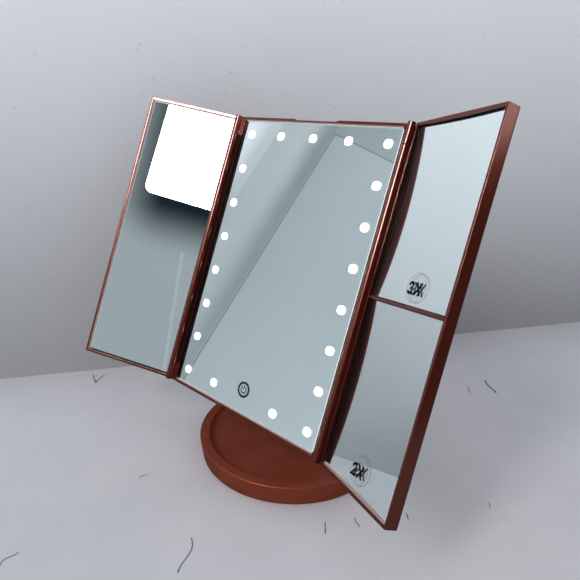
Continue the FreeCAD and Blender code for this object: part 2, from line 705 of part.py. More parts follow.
def battery_springs():
    springs = []
    for index in range(CELL_COUNT):
        sense = cell_sense(index)
        spring = coil(SPRING_R, CELL_SPRING, SPRING_TURNS, SPRING_WIRE)
        spring.rotate(V(0, 0, 0), V(0, 1, 0), 90 * sense)
        spring.translate(V(-sense * CELL_SPAN / 2, CELL_Y, cell_line(index)))
        springs.append(spring)
    return group(springs)


def contact_plates():
    """Contacts at both ends; each joins two neighbouring cells, the last ones stand alone."""
    half = CELL_PITCH / 2 - 0.8
    spans = [(1, index, index + 1) for index in range(0, CELL_COUNT - 1, 2)]
    spans += [(-1, index, index + 1) for index in range(1, CELL_COUNT - 2, 2)]
    spans += [(-1, 0, 0), (-1, CELL_COUNT - 1, CELL_COUNT - 1)]
    plates = []
    for side, first, last in spans:
        near = side * CELL_SPAN / 2
        far = side * BOX_HALF
        plates.append(block(min(near, far), max(near, far), CELL_Y - CELL_R + 0.6, CELL_Y + CELL_R - 0.6,
                            cell_line(first) - half, cell_line(last) + half))
    return group(plates)


def battery_door():
    """Flat door with a rounded foot, stub pins at its foot and a lip under its top edge."""
    half = DOOR_HALF - DOOR_CLEAR
    top = CELL_ROW_Z + DOOR_HALF_Z - DOOR_CLEAR
    inner = REAR_Y - DOOR_T
    plate = block(-half, half, inner, REAR_Y, DOOR_AXIS_Z, top)
    foot = rod(DOOR_T / 2, (-half, DOOR_AXIS_Y, DOOR_AXIS_Z), (half, DOOR_AXIS_Y, DOOR_AXIS_Z))
    reach = DOOR_HALF + STUB_L - DOOR_CLEAR
    stubs = rod(STUB_R, (-reach, DOOR_AXIS_Y, DOOR_AXIS_Z), (reach, DOOR_AXIS_Y, DOOR_AXIS_Z))
    return joined([plate, foot, stubs])


# ---------------------------------------------------------------- inlet, switch and wires
def usb_y():
    """Front face of the inlet board."""
    return COVER_IN - USB_STANDOFF - BOARD_T


def usb_socket():
    back = usb_y()
    front = back - USB_H
    mouth = -PANEL_HALF_H + 0.4
    shell = block(USB_X - USB_W / 2, USB_X + USB_W / 2, front, back, mouth, mouth + USB_L)
    inside = block(USB_X - USB_W / 2 + USB_SKIN, USB_X + USB_W / 2 - USB_SKIN, front + USB_SKIN,
                   back - USB_SKIN, mouth - 1, mouth + USB_L - USB_SKIN)
    tongue = block(USB_X - USB_W / 4, USB_X + USB_W / 4, (front + back) / 2 - 0.3, (front + back) / 2 + 0.3,
                   mouth + 1.0, mouth + USB_L - USB_SKIN / 2)
    return joined([shell.cut(inside), tongue])


def usb_board():
    foot = -PANEL_HALF_H + WALL + 0.2
    return block(USB_X - USB_BOARD_W / 2, USB_X + USB_BOARD_W / 2, usb_y(), usb_y() + BOARD_T,
                 foot, foot + USB_BOARD_L)


def switch_body():
    back = COVER_IN - 0.1
    body = block(SWITCH_X - SWITCH_W / 2, SWITCH_X + SWITCH_W / 2, back - SWITCH_T, back,
                 SWITCH_Z - SWITCH_H / 2, SWITCH_Z + SWITCH_H / 2)
    return body.cut(knob_slot(COVER_IN - KNOB_DEEP - KNOB_CLEAR, 0.0))


def switch_knob():
    """Sliding knob, drawn at the lighted end of its travel."""
    middle = SWITCH_X - KNOB_TRAVEL / 2
    top = REAR_Y + KNOB_PROUD
    knob = block(middle - KNOB_W / 2, middle + KNOB_W / 2, COVER_IN - KNOB_DEEP, top,
                 SWITCH_Z - KNOB_H / 2, SWITCH_Z + KNOB_H / 2)
    grooves = [block(middle + x - 0.2, middle + x + 0.2, top - 0.3, top + 1,
                     SWITCH_Z - KNOB_H, SWITCH_Z + KNOB_H) for x in (-0.8, 0.0, 0.8)]
    return knob.cut(grooves)


def battery_lead():
    start_z = CELL_ROW_Z - DOOR_HALF_Z
    land = SPLIT_Y + BOARD_T
    x = -BOARD_HALF_W + 5.0
    return lead([(x - 3.0, WIRE_Y, start_z), (x - 3.0, WIRE_Y, (start_z + BOARD_TOP) / 2),
                 (x, WIRE_Y, BOARD_TOP + 14.0), (x, WIRE_Y, BOARD_TOP - 4.0), (x, land, BOARD_TOP - 4.0)], V(1, 0, 0))


def usb_lead():
    land = SPLIT_Y + BOARD_T
    start_z = -PANEL_HALF_H + WALL + USB_BOARD_L - 2.5
    x = USB_X - USB_BOARD_W / 2 + 3.0
    return lead([(x, usb_y(), start_z), (x, WIRE_Y, start_z),
                 ((x + BOARD_HALF_W) / 2, WIRE_Y, start_z + 4.0),
                 (BOARD_HALF_W - 4.0, WIRE_Y, start_z + 6.0), (BOARD_HALF_W - 4.0, land, start_z + 6.0)],
                V(0, 0, 1))


def switch_lead():
    start_y = COVER_IN - 0.1 - SWITCH_T
    land = SPLIT_Y + BOARD_T
    mid_y = (start_y + land) / 2
    x = SWITCH_X + 2.0
    edge = -BOARD_HALF_W + 3.0
    return lead([(x, start_y, SWITCH_Z), (x, mid_y, SWITCH_Z), ((x + edge) / 2, mid_y, SWITCH_Z - 6.0),
                 (edge, mid_y, SWITCH_Z - 10.0), (edge, land, SWITCH_Z - 10.0)], V(0, 0, 1))


# ---------------------------------------------------------------- wing hinges
def hinge_pins():
    """Top and bottom pins of the right-hand hinge."""
    pin = hinge_line(PIN_R, KNUCKLE_Z - PIN_ENGAGE, KNUCKLE_Z + PIN_ROOT)
    return group(both_ends(pin))


def wing_outer():
    body = cushion(WING_IN, WING_OUT, WING_FRONT, WING_REAR, PANEL_HALF_H,
                   WING_ROUND, WING_CORNER_IN, WING_CORNER_OUT)
    length = KNUCKLE_Z - KNUCKLE_GAP
    barrel = rod(BARREL_R, (0, 0, -length), (0, 0, length))
    root = block(WING_IN, BARREL_R, 0, WING_FRONT + 0.1, -length, length)
    clear = rod(BARREL_R + BARREL_CLEAR, (0, 0, KNUCKLE_Z - KNUCKLE_GAP / 2), (0, 0, PANEL_HALF_H + 1))
    body = joined([body.cut(both_ends(clear)), barrel, root])
    bore = rod(PIN_R + PIN_RUN, (0, 0, KNUCKLE_Z - PIN_ENGAGE - PIN_END_GAP), (0, 0, PANEL_HALF_H))
    return body.cut(both_ends(bore))


def left_wing_shell():
    body = wing_outer().cut(block(POCKET_IN, POCKET_OUT, WING_FRONT - 1, PANE_BACK, -POCKET_Z, POCKET_Z))
    return body.cut(block(POCKET_IN + SEAT_W, POCKET_OUT - SEAT_W, PANE_BACK - 1, WING_FLOOR,
                          SEAT_W - POCKET_Z, POCKET_Z - SEAT_W))


def left_mirror():
    return flat_pane(POCKET_IN + FIT, POCKET_OUT - FIT, PANE_FRONT, GLASS_HALF_H)


def left_foam():
    strips = []
    for edge, sense in ((POCKET_IN + SEAT_W, 1), (POCKET_OUT - SEAT_W, -1)):
        near = edge + sense * FOAM_INSET
        far = near + sense * FOAM_W
        strips.append(block(min(near, far), max(near, far), PANE_BACK, WING_FLOOR, -FOAM_HALF_L, FOAM_HALF_L))
    return group(strips)


def mirror_ball(radius, depth, middle_z):
    """Ball about the centre of a concave surface, a depth behind that surface."""
    corner = math.hypot(PANE_HALF_U, PANE_HALF_Z)
    centre = V(PANE_U, PANE_FRONT - math.sqrt(radius ** 2 - corner ** 2), middle_z)
    return Part.makeSphere(radius + depth, centre)


def concave_pane(radius, upper):
    middle = PANE_MID if upper else -PANE_MID
    blank = block(PANE_U - PANE_HALF_U, PANE_U + PANE_HALF_U, WING_FRONT, WING_FLOOR,
                  middle - PANE_HALF_Z, middle + PANE_HALF_Z)
    blank = blank.common(mirror_ball(radius, GLASS_T, middle))
    return blank.cut(mirror_ball(radius, 0.0, middle))


def pane_pads(radius, upper):
    """Corner pads of the shell, dished to the back of a concave pane."""
    middle = PANE_MID if upper else -PANE_MID
    pads = []
    for u in (POCKET_IN - 0.5, POCKET_OUT + 0.5 - PAD):
        for z in (middle - PANE_HALF_Z - FIT - 0.1, middle + PANE_HALF_Z + FIT + 0.1 - PAD):
            pads.append(block(u, u + PAD, WING_FRONT + 0.5, WING_FLOOR + 0.5, z, z + PAD))
    ball = mirror_ball(radius, GLASS_T, middle)
    return [pad.cut(ball) for pad in pads]


def right_wing_shell():
    body = wing_outer().cut(block(POCKET_IN, POCKET_OUT, WING_FRONT - 1, WING_FLOOR, -POCKET_Z, POCKET_Z))
    divider = block(POCKET_IN - 0.5, POCKET_OUT + 0.5, WING_FRONT + DIVIDER_SINK, WING_FLOOR + 0.5,
                    -DIVIDER_HALF, DIVIDER_HALF)
    return joined([body, divider] + pane_pads(UPPER_RADIUS, True) + pane_pads(LOWER_RADIUS, False))


def right_foam():
    strips = []
    for radius, middle in ((UPPER_RADIUS, PANE_MID), (LOWER_RADIUS, -PANE_MID)):
        ball = mirror_ball(radius, GLASS_T, middle)
        for edge, sense in ((POCKET_IN, 1), (POCKET_OUT, -1)):
            near = edge + sense * FOAM_INSET / 2
            far = near + sense * FOAM_W
            strip = block(min(near, far), max(near, far), PANE_BACK, WING_FLOOR,
                          middle - PANE_HALF_Z / 2, middle + PANE_HALF_Z / 2)
            strips.append(strip.cut(ball))
    return group(strips)


def pane_label(radius, upper, u, z):
    """Thin round film on the front of a concave pane."""
    middle = PANE_MID if upper else -PANE_MID
    disc = rod(LABEL_R, (u, WING_FRONT, z), (u, WING_FLOOR, z))
    disc = disc.common(mirror_ball(radius, -LABEL_GLUE, middle))
    return disc.cut(mirror_ball(radius, -LABEL_GLUE - LABEL_T, middle))


# ---------------------------------------------------------------- tilt hinge
def tilt_pin():
    shank = tilt_line(TILT_PIN_R, -POCKET_FLOOR - 0.1, LUG_OUT - PIN_STUB)
    head = tilt_line(PIN_HEAD_R, -POCKET_FLOOR - PIN_HEAD_T, -POCKET_FLOOR)
    return joined([shank, head])


def tilt_nut():
    nut = prism("x", hexagon(PIN_HEAD_R, PIVOT_BACK, -PIVOT_DOWN), POCKET_FLOOR, POCKET_FLOOR + PIN_HEAD_T)
    return nut.cut(tilt_line(TILT_PIN_R + TILT_HOLD, POCKET_FLOOR - 1, LUG_OUT))


# ---------------------------------------------------------------- neck
def neck_outline(shrink, top, foot, half_t):
    """Tapered body of the neck between two levels below the tilt axis."""
    def half_at(level):
        return NECK_TOP_HALF + (NECK_FOOT_HALF - NECK_TOP_HALF) * level / NECK_LENGTH - shrink
    corners = [(-half_at(top), -top, 0), (half_at(top), -top, 0),
               (half_at(foot), -foot, 0), (-half_at(foot), -foot, 0)]
    return prism("y", corners, -half_t, half_t)


def neck_solid():
    over = NECK_T
    body = neck_outline(0.0, 0.0, NECK_LENGTH + over, NECK_T / 2)
    long_edges = [edge for edge in body.Edges if edge.BoundBox.ZLength > NECK_LENGTH / 2]
    body = body.makeFillet(NECK_ROUND, long_edges)
    head = rod(HEAD_KNUCKLE_R, (-HEAD_HALF, 0, 0), (HEAD_HALF, 0, 0))
    hollow = neck_outline(NECK_WALL, NECK_SOLID_TOP, NECK_LENGTH - NECK_SOLID_FOOT, NECK_T / 2 - NECK_WALL)
    body = joined([body, head]).cut(hollow)
    deep = (NECK_T - NECK_WALL) / 2
    bosses = [block(-NECK_BOSS_HALF, NECK_BOSS_HALF, -deep, deep, -level - NECK_BOSS_HALF, -level + NECK_BOSS_HALF)
              for level in (NECK_SCREW_UPPER, NECK_SCREW_LOWER)]
    body = joined([body] + bosses)
    return body.cut(rod(TILT_PIN_R + TILT_RUN, (-HEAD_HALF - 1, 0, 0), (HEAD_HALF + 1, 0, 0)))


def neck_half(front):
    reach = NECK_T * 2
    width = NECK_FOOT_HALF * 2
    side = block(-width, width, -reach if front else 0, 0 if front else reach,
                 -NECK_LENGTH - reach, HEAD_KNUCKLE_R * 2)
    half = neck_solid().common(side)
    if front:
        half = half.cut([rod(SCREW_R + THREAD_FIT, (0, -SCREW_BITE - 0.4, -level), (0, 1, -level))
                         for level in (NECK_SCREW_UPPER, NECK_SCREW_LOWER)])
    else:
        for level in (NECK_SCREW_UPPER, NECK_SCREW_LOWER):
            half = half.cut([rod(SCREW_R + SCREW_RUN, (0, -1, -level), (0, NECK_T, -level)),
                             rod(HEAD_R + HEAD_CLEAR, (0, NECK_SEAT, -level), (0, NECK_T, -level))])
    placed = on_neck(half)
    below = block(-width, width, NECK_FOOT_Y - BASE_R, NECK_FOOT_Y + BASE_R, PLINTH_TOP - BASE_R, PLINTH_TOP)
    placed = placed.cut(below)
    y = foot_screw_line(front)
    return placed.cut(rod(SCREW_R + THREAD_FIT, (0, y, PLINTH_TOP - 1), (0, y, PLINTH_TOP + FOOT_SCREW_BITE + 0.4)))


def neck_screws():
    return [on_neck(screw((0, NECK_SEAT, -level), (0, -SCREW_BITE, -level)))
            for level in (NECK_SCREW_UPPER, NECK_SCREW_LOWER)]


def foot_screw_line(front):
    """Foot screw of one half of the neck, set forward to follow its lean."""
    lead_in = (FOOT_SCREW_BITE / 2) * NECK_RUN / NECK_RISE
    return NECK_FOOT_Y - lead_in + (-FOOT_SCREW_Y if front else FOOT_SCREW_Y)


def foot_screw_places():
    return [(0.0, foot_screw_line(True)), (0.0, foot_screw_line(False))]


def neck_foot_screws():
    return [screw((x, y, FLOOR_UNDER), (x, y, PLINTH_TOP + FOOT_SCREW_BITE)) for x, y in foot_screw_places()]


# ---------------------------------------------------------------- base
def lathe(profile):
    """Solid turned about the vertical axis from (radius, level, corner radius) points."""
    return outline("y", profile, 0.0).revolve(V(0, 0, 0), V(0, 0, 1), 360)


def ring_places(radius):
    """Evenly spaced places round the base, the first halfway between two axes."""
    step = 360 / POST_COUNT
    return [(radius * math.cos(math.radians(step * (k + 0.5))),
             radius * math.sin(math.radians(step * (k + 0.5)))) for k in range(POST_COUNT)]


def base_tray():
    """Turned tray: drafted side, flat rim with eased edges, sunk floor that rises in a cove to its wall."""
    side = (BASE_R - BASE_FOOT_R) / (BASE_H - PAD_T)
    inside = BASE_FOOT_R - BASE_WALL
    cove = [(WELL_R - COVE + COVE * math.sin(math.radians(turn)),
             WELL_FLOOR + COVE - COVE * math.cos(math.radians(turn)), 0) for turn in (0, 45, 90)]
    body = lathe([(0, WELL_FLOOR, 0)] + cove + [
        (WELL_R, BASE_H, 0), (BASE_R - RIM_EASE, BASE_H, 0),
        (BASE_R - side * RIM_EASE, BASE_H - RIM_EASE, 0), (BASE_FOOT_R, PAD_T, 0),
        (inside, PAD_T, 0), (inside, BASE_H - BASE_WALL, 0),
        (WELL_R + BASE_WALL, BASE_H - BASE_WALL, 0), (WELL_R + BASE_WALL, WELL_FLOOR, 0),
        (WELL_R - COVE / 2, FLOOR_UNDER, 0), (0, FLOOR_UNDER, 0)])
    posts = [block(x - COVER_POST_HALF, x + COVER_POST_HALF, y - COVER_POST_HALF, y + COVER_POST_HALF,
                   COVER_TOP, FLOOR_UNDER + 0.5) for x, y in ring_places(POST_RING)]
    plinth = prism("z", rectangle(-PLINTH_HALF_W, PLINTH_HALF_W, NECK_FOOT_Y - PLINTH_HALF_D,
                                  NECK_FOOT_Y + PLINTH_HALF_D, PLINTH_ROUND), WELL_FLOOR - 0.5, PLINTH_TOP)
    body = joined([body, plinth] + posts)
    return body.cut([rod(SCREW_R + SCREW_RUN, (x, y, FLOOR_UNDER - 1), (x, y, PLINTH_TOP + 1))
                     for x, y in foot_screw_places()])


def base_cover():
    """Bottom plate, snapped into the tray and stopped by its posts."""
    return Part.makeCylinder(BASE_FOOT_R - BASE_WALL - FIT, COVER_T, V(0, 0, PAD_T))


def base_weight():
    """Square ballast plate with clipped corners."""
    half = WEIGHT_HALF
    clip = half - WEIGHT_CLIP
    corners = [(clip, half, 0), (-clip, half, 0), (-half, clip, 0), (-half, -clip, 0),
               (-clip, -half, 0), (clip, -half, 0), (half, -clip, 0), (half, clip, 0)]
    return prism("z", corners, COVER_TOP, COVER_TOP + WEIGHT_T)


def rubber_pad():
    """Round non-slip pad glued under the bottom cover."""
    return Part.makeCylinder(PAD_R, PAD_T)


def pieces():
    right_pins = hinge_pins()
    return {
        "base_tray": base_tray(),
        "base_cover": base_cover(),
        "base_weight": base_weight(),
        "rubber_pad": rubber_pad(),
        "neck_front": neck_half(True),
        "neck_rear": neck_half(False),
        "neck_screws": group(neck_screws() + neck_foot_screws()),
        "center_frame": on_panel(center_frame()),
        "center_mirror": on_panel(center_mirror()),
        "led_strips": on_panel(led_strips()),
        "leds": on_panel(leds()),
        "led_leads": on_panel(led_leads()),
        "touch_spring": on_panel(touch_spring()),
        "control_board": on_panel(control_board()),
        "rear_cover": on_panel(rear_cover()),
        "rear_screws": on_panel(rear_screws()),
        "battery_cells": on_panel(battery_cells()),
        "battery_springs": on_panel(battery_springs()),
        "contact_plates": on_panel(contact_plates()),
        "battery_door": on_panel(battery_door()),
        "usb_socket": on_panel(usb_socket()),
        "usb_board": on_panel(usb_board()),
        "switch_body": on_panel(switch_body()),
        "switch_knob": on_panel(switch_knob()),
        "wiring": on_panel(group([battery_lead(), usb_lead(), switch_lead()])),
        "tilt_pin": on_panel(tilt_pin()),
        "tilt_nut": on_panel(tilt_nut()),
        "right_hinge_pins": on_panel(right_pins),
        "left_hinge_pins": on_panel(right_pins.mirror(V(0, 0, 0), V(1, 0, 0))),
        "left_wing_shell": on_left_wing(left_wing_shell()),
        "left_mirror": on_left_wing(left_mirror()),
        "left_foam": on_left_wing(left_foam()),
        "right_wing_shell": on_right_wing(right_wing_shell()),
        "right_upper_mirror": on_right_wing(concave_pane(UPPER_RADIUS, True)),
        "right_lower_mirror": on_right_wing(concave_pane(LOWER_RADIUS, False)),
        "right_foam": on_right_wing(right_foam()),
        "label_3x": on_right_wing(pane_label(UPPER_RADIUS, True, UPPER_LABEL_U, UPPER_LABEL_Z)),
        "label_2x": on_right_wing(pane_label(LOWER_RADIUS, False, LOWER_LABEL_U, LOWER_LABEL_Z)),
    }


os.makedirs("parts", exist_ok=True)
for name, shape in pieces().items():
    shape.exportStep("parts/" + name + ".step")
    print(name, "solids", len(shape.Solids), "volume", round(shape.Volume, 2), "valid", shape.isValid())
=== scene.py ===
import json
import math

import bpy
import bmesh
from mathutils import Matrix, Vector


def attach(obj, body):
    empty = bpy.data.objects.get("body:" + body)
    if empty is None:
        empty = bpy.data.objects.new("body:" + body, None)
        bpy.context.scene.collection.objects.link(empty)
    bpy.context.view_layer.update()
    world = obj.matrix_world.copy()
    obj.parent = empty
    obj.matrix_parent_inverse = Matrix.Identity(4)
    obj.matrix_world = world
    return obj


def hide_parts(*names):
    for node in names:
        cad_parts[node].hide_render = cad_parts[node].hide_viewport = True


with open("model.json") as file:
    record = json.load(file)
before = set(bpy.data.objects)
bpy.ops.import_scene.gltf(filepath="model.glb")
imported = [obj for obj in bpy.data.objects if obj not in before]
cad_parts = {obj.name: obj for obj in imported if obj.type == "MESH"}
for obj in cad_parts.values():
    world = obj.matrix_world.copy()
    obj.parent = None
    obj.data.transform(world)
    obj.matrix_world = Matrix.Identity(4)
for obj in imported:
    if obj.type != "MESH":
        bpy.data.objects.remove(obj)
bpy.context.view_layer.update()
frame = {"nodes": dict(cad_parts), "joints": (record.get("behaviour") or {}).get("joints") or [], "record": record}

MM = 0.001
JOINTS = {j["name"]: j for j in frame["joints"]}
NODES = frame["nodes"]

# ---------------------------------------------------------------- sizes, in millimetres
GLASS_HALF_W = 81.3
GLASS_HALF_H = 120.6
GLASS_T = 2.0
GLASS_BEVEL = 0.5
GLASS_SHORT = 0.12      # clear glass stops this far before the back of its pane
SHEET_SHORT = 0.06      # and the silvering's front this far
SHEET_INSET = 0.25
SHEET_T = 0.03
FIT = 0.2
LED_X = 70.95
LED_Z = 108.5
LED_ROWS = 8
TOUCH_Z = -102.0
WINDOW_Y = GLASS_T - 0.09       # front of the lamp windows and of the touch symbol
WINDOW_R = 3.6
WINDOW_WIDE = 1.08
WINDOW_TALL = 0.97
WINDOW_SQUARE = 0.03    # how far the outline leans from a circle to a square
WINDOW_POINTS = 36
PRINT_T = 0.02
SYMBOL_R = 5.65
SYMBOL_LINE = 2.0
GLYPH_R = 2.7
GLYPH_LINE = 1.0
GLYPH_LOW = 0.4
GLYPH_TOP = 3.3
HINGE_Y = -3.6
LEFT_SWING = 29.9
RIGHT_SWING = 26.6
POCKET_IN = 4.0
POCKET_OUT = 85.9
PANE_FRONT = 3.6
PANE_U = 44.95
PANE_HALF_U = 40.75
PANE_MID = 60.85
PANE_HALF_Z = 59.75
UPPER_RADIUS = 750.0
LOWER_RADIUS = 1000.0
LABEL_R = 9.5
UPPER_LABEL = (49.2, 13.3)
LOWER_LABEL = (45.3, -107.6)
FILM_OFF = 0.22         # film in front of the pane
FILM_LIFT = 0.04
FILM_RINGS = 8
RIM_INSET = 0.15        # rim line, from the edge of the film
RIM_LINE = 0.3
RIM_T = 0.05
FIGURE_W = 4.7
FIGURE_H = 7.0
INK_W = 1.75
INK_T = 0.02
BASE_R = 86.0
BASE_FOOT_R = 84.0
BASE_H = 18.0
WELL_R = 77.1
WELL_FLOOR = 11.0
COVE = 5.0
PAD_T = 0.8
FLOOR_RINGS = (0.0, 30.0, 55.0)
FOOT_WALL = 2.2
UNDERSIDE = 8.8
PLINTH_Y = 26.0
PLINTH_HALF = 27.0
PLINTH_NARROW = 13.5    # half depth of the plinth, less than its half width
PLINTH_CORNER = 5.0
PLINTH_STEPS = (        # spread beyond the half width, and level
    (1.6, 10.8), (0.9, 11.15), (0.3, 11.7), (0.0, 12.4), (0.0, 12.9), (-0.2, 13.3), (-0.6, 13.5),
)

# Shadow groove between the centre glass and each barrel, and painted shade on the side of the right barrel.
GROOVE_IN = 81.3
GROOVE_OUT = 86.6
GROOVE_MID = 85.0
GROOVE_FRONT = -3.0
GROOVE_DEEP = 1.3
GROOVE_HALF = 119.0
KNUCKLE_Z = 106.6
FLANK_U = 2.95
FLANK_END = 6.5
FACE_REACH = 0.1        # slack for picking the faces of the groove
SHARP = 30.0            # edges bent by more than this many degrees are rounded
SMOOTH = 42.0

# ---------------------------------------------------------------- frames of the panel and wings
UP = Vector(JOINTS["left_wing_hinge"]["axis"]).normalized()
RIGHT = Vector((1, 0, 0))
BACK = UP.cross(RIGHT).normalized()


def axes_matrix(x, y, z, origin):
    m = Matrix((x, y, z)).transposed().to_4x4()
    m.translation = origin
    return m


HINGE_LEFT = Vector(JOINTS["left_wing_hinge"]["pos_m"])
HINGE_RIGHT = Vector(JOINTS["right_wing_hinge"]["pos_m"])
PANEL = axes_matrix(RIGHT, BACK, UP, (HINGE_LEFT + HINGE_RIGHT) / 2 - BACK * HINGE_Y * MM)


def wing_matrix(hinge, swing, side):
    turn = math.radians(swing)
    out = RIGHT * side
    u = out * math.cos(turn) - BACK * math.sin(turn)
    v = BACK * math.cos(turn) + out * math.sin(turn)
    return axes_matrix(u, v, UP, hinge)


LEFT_WING = wing_matrix(HINGE_LEFT, LEFT_SWING, -1)
RIGHT_WING = wing_matrix(HINGE_RIGHT, RIGHT_SWING, 1)


# ---------------------------------------------------------------- material helpers
class Nodes:
    """A material's node tree, with short calls for the nodes used here."""

    def __init__(self, name):
        self.mat = bpy.data.materials.new(name)
        self.mat.use_nodes = True
        self.tree = self.mat.node_tree
        self.tree.nodes.clear()
        self.out = self.add("ShaderNodeOutputMaterial")
        self.coord = self.add("ShaderNodeTexCoord").outputs["Object"]

    def add(self, kind, **settings):
        node = self.tree.nodes.new(kind)
        for key, value in settings.items():
            setattr(node, key, value)
        return node

    def link(self, a, b):
        self.tree.links.new(a, b)

    def shader(self, **sockets):
        node = self.add("ShaderNodeBsdfPrincipled")
        for key, value in sockets.items():
            node.inputs[key.replace("_", " ")].default_value = value
        self.link(node.outputs[0], self.out.inputs["Surface"])
        return node

    def noise(self, scale, detail=3.0, rough=0.55, stretch=None):
        node = self.add("ShaderNodeTexNoise")
        node.inputs["Scale"].default_value = scale
        node.inputs["Detail"].default_value = detail
        node.inputs["Roughness"].default_value = rough
        vector = self.coord
        if stretch:
            mapping = self.add("ShaderNodeMapping")
            mapping.inputs["Scale"].default_value = stretch
            self.link(self.coord, mapping.inputs["Vector"])
            vector = mapping.outputs[0]
        self.link(vector, node.inputs["Vector"])
        return node.outputs["Fac"]

    def ramp(self, value, stops):
        node = self.add("ShaderNodeValToRGB")
        ramp = node.color_ramp
        while len(ramp.elements) < len(stops):
            ramp.elements.new(0.5)
        for element, (place, colour) in zip(ramp.elements, stops):
            element.position = place
            element.color = (*colour, 1.0)
        self.link(value, node.inputs["Fac"])
        return node.outputs["Color"]

    def span(self, value, low, high, a=0.0, b=1.0):
        node = self.add("ShaderNodeMapRange")
        node.inputs["From Min"].default_value = a
        node.inputs["From Max"].default_value = b
        node.inputs["To Min"].default_value = low
        node.inputs["To Max"].default_value = high
        self.link(value, node.inputs["Value"])
        return node.outputs["Result"]

    def math(self, how, a, b=None):
        node = self.add("ShaderNodeMath", operation=how)
        for slot, value in enumerate((a, b)):
            if value is None:
                continue
            if isinstance(value, (int, float)):
                node.inputs[slot].default_value = value
            else:
                self.link(value, node.inputs[slot])
        return node.outputs[0]

    def bump(self, height, strength, distance, after=None):
        node = self.add("ShaderNodeBump")
        node.inputs["Strength"].default_value = strength
        node.inputs["Distance"].default_value = distance
        self.link(height, node.inputs["Height"])
        if after is not None:
            self.link(after, node.inputs["Normal"])
        return node.outputs["Normal"]


NICK = (0.72, 0.50, 0.42, 1.0)


def copper(name, light, dark, rough, metal, coat):
    """Rose gold coat on moulded plastic, with fine flake, slight orange peel and a few pale nicks."""
    n = Nodes(name)
    s = n.shader(Metallic=metal, Coat_Weight=coat, Coat_Roughness=0.19, Coat_IOR=2.3)
    tone = n.noise(38.0, 4.0, 0.6)
    flake = n.noise(2600.0, 2.0, 0.7)
    blend = n.math("ADD", n.math("MULTIPLY", tone, 0.8), n.math("MULTIPLY", flake, 0.2))
    base = n.ramp(blend, [(0.34, dark), (0.66, light)])
    nick = n.add("ShaderNodeTexVoronoi")
    nick.inputs["Scale"].default_value = 240.0
    n.link(n.coord, nick.inputs["Vector"])
    near = n.math("LESS_THAN", nick.outputs["Distance"], 0.055)
    rare = n.math("GREATER_THAN", n.noise(46.0, 2.0, 0.5), 0.70)
    mask = n.math("MULTIPLY", near, rare)
    mix = n.add("ShaderNodeMix", data_type="RGBA")
    n.link(mask, mix.inputs["Factor"])
    n.link(base, mix.inputs[6])
    mix.inputs[7].default_value = NICK
    n.link(mix.outputs[2], s.inputs["Base Color"])
    n.link(n.span(n.noise(90.0, 3.0, 0.6), rough[0], rough[1]), s.inputs["Roughness"])
    peel = n.bump(n.noise(420.0, 2.0, 0.5), 0.10, 0.0003)
    fine = n.bump(flake, 0.06, 0.00008, peel)
    n.link(fine, s.inputs["Normal"])
    return n.mat


def plain(name, light, dark, rough=0.5, metal=0.0, scale=120.0, bump=0.15, coat=0.0, lit=0.0):
    """Moulded plastic, rubber or metal with slight mottling and grain; lit adds a painted glow of its own."""
    n = Nodes(name)
    s = n.shader(Metallic=metal, Coat_Weight=coat)
    tone = n.ramp(n.noise(scale, 4.0, 0.6), [(0.35, dark), (0.65, light)])
    n.link(tone, s.inputs["Base Color"])
    if lit:
        n.link(tone, s.inputs["Emission Color"])
        s.inputs["Emission Strength"].default_value = lit
    n.link(n.span(n.noise(scale * 2.5, 2.0), rough * 0.85, rough * 1.15), s.inputs["Roughness"])
    n.link(n.bump(n.noise(scale * 16, 3.0, 0.6), bump, 0.0001), s.inputs["Normal"])
    return n.mat


def brushed(name, light, dark, rough):
    """Steel with fine lines drawn along one axis."""
    n = Nodes(name)
    s = n.shader(Metallic=1.0)
    lines = n.noise(60.0, 4.0, 0.7, (1.0, 40.0, 40.0))
    n.link(n.ramp(lines, [(0.3, dark), (0.7, light)]), s.inputs["Base Color"])
    n.link(n.span(lines, rough * 0.8, rough * 1.25), s.inputs["Roughness"])
    n.link(n.bump(lines, 0.12, 0.00005), s.inputs["Normal"])
    return n.mat


def silver(name):
    """Silvering seen through the glass, with the faintest haze."""
    n = Nodes(name)
    s = n.shader(Metallic=1.0)
    n.link(n.ramp(n.noise(9.0, 3.0, 0.5), [(0.3, (0.800, 0.868, 0.872)), (0.7, (0.825, 0.885, 0.892))]),
           s.inputs["Base Color"])
    n.link(n.span(n.noise(14.0, 4.0, 0.6), 0.004, 0.012), s.inputs["Roughness"])
    return n.mat


def clear_glass(name):
    n = Nodes(name)
    s = n.shader(Transmission_Weight=1.0, IOR=1.5, Roughness=0.0)
    n.link(n.ramp(n.noise(11.0, 2.0), [(0.3, (0.972, 0.992, 0.988)), (0.7, (0.982, 0.996, 0.993))]),
           s.inputs["Base Color"])
    return n.mat


def glow(name, colour, strength):
    """Frosted lamp window, lit white with the faintest mottling."""
    n = Nodes(name)
    s = n.shader(Roughness=0.5, Emission_Strength=strength)
    tone = n.ramp(n.noise(900.0, 2.0), [(0.2, tuple(c * 0.97 for c in colour)), (0.8, colour)])
    n.link(tone, s.inputs["Base Color"])
    n.link(tone, s.inputs["Emission Color"])
    return n.mat


def foil(name, light, dark, rough, alpha, gloss=0.5):
    """Thin ink or clear film; alpha is how much it hides of what lies behind."""
    n = Nodes(name)
    s = n.shader(Alpha=alpha, Specular_IOR_Level=gloss)
    n.link(n.ramp(n.noise(600.0, 2.0), [(0.3, dark), (0.7, light)]), s.inputs["Base Color"])
    n.link(n.span(n.noise(300.0), rough * 0.9, rough * 1.1), s.inputs["Roughness"])
    return n.mat


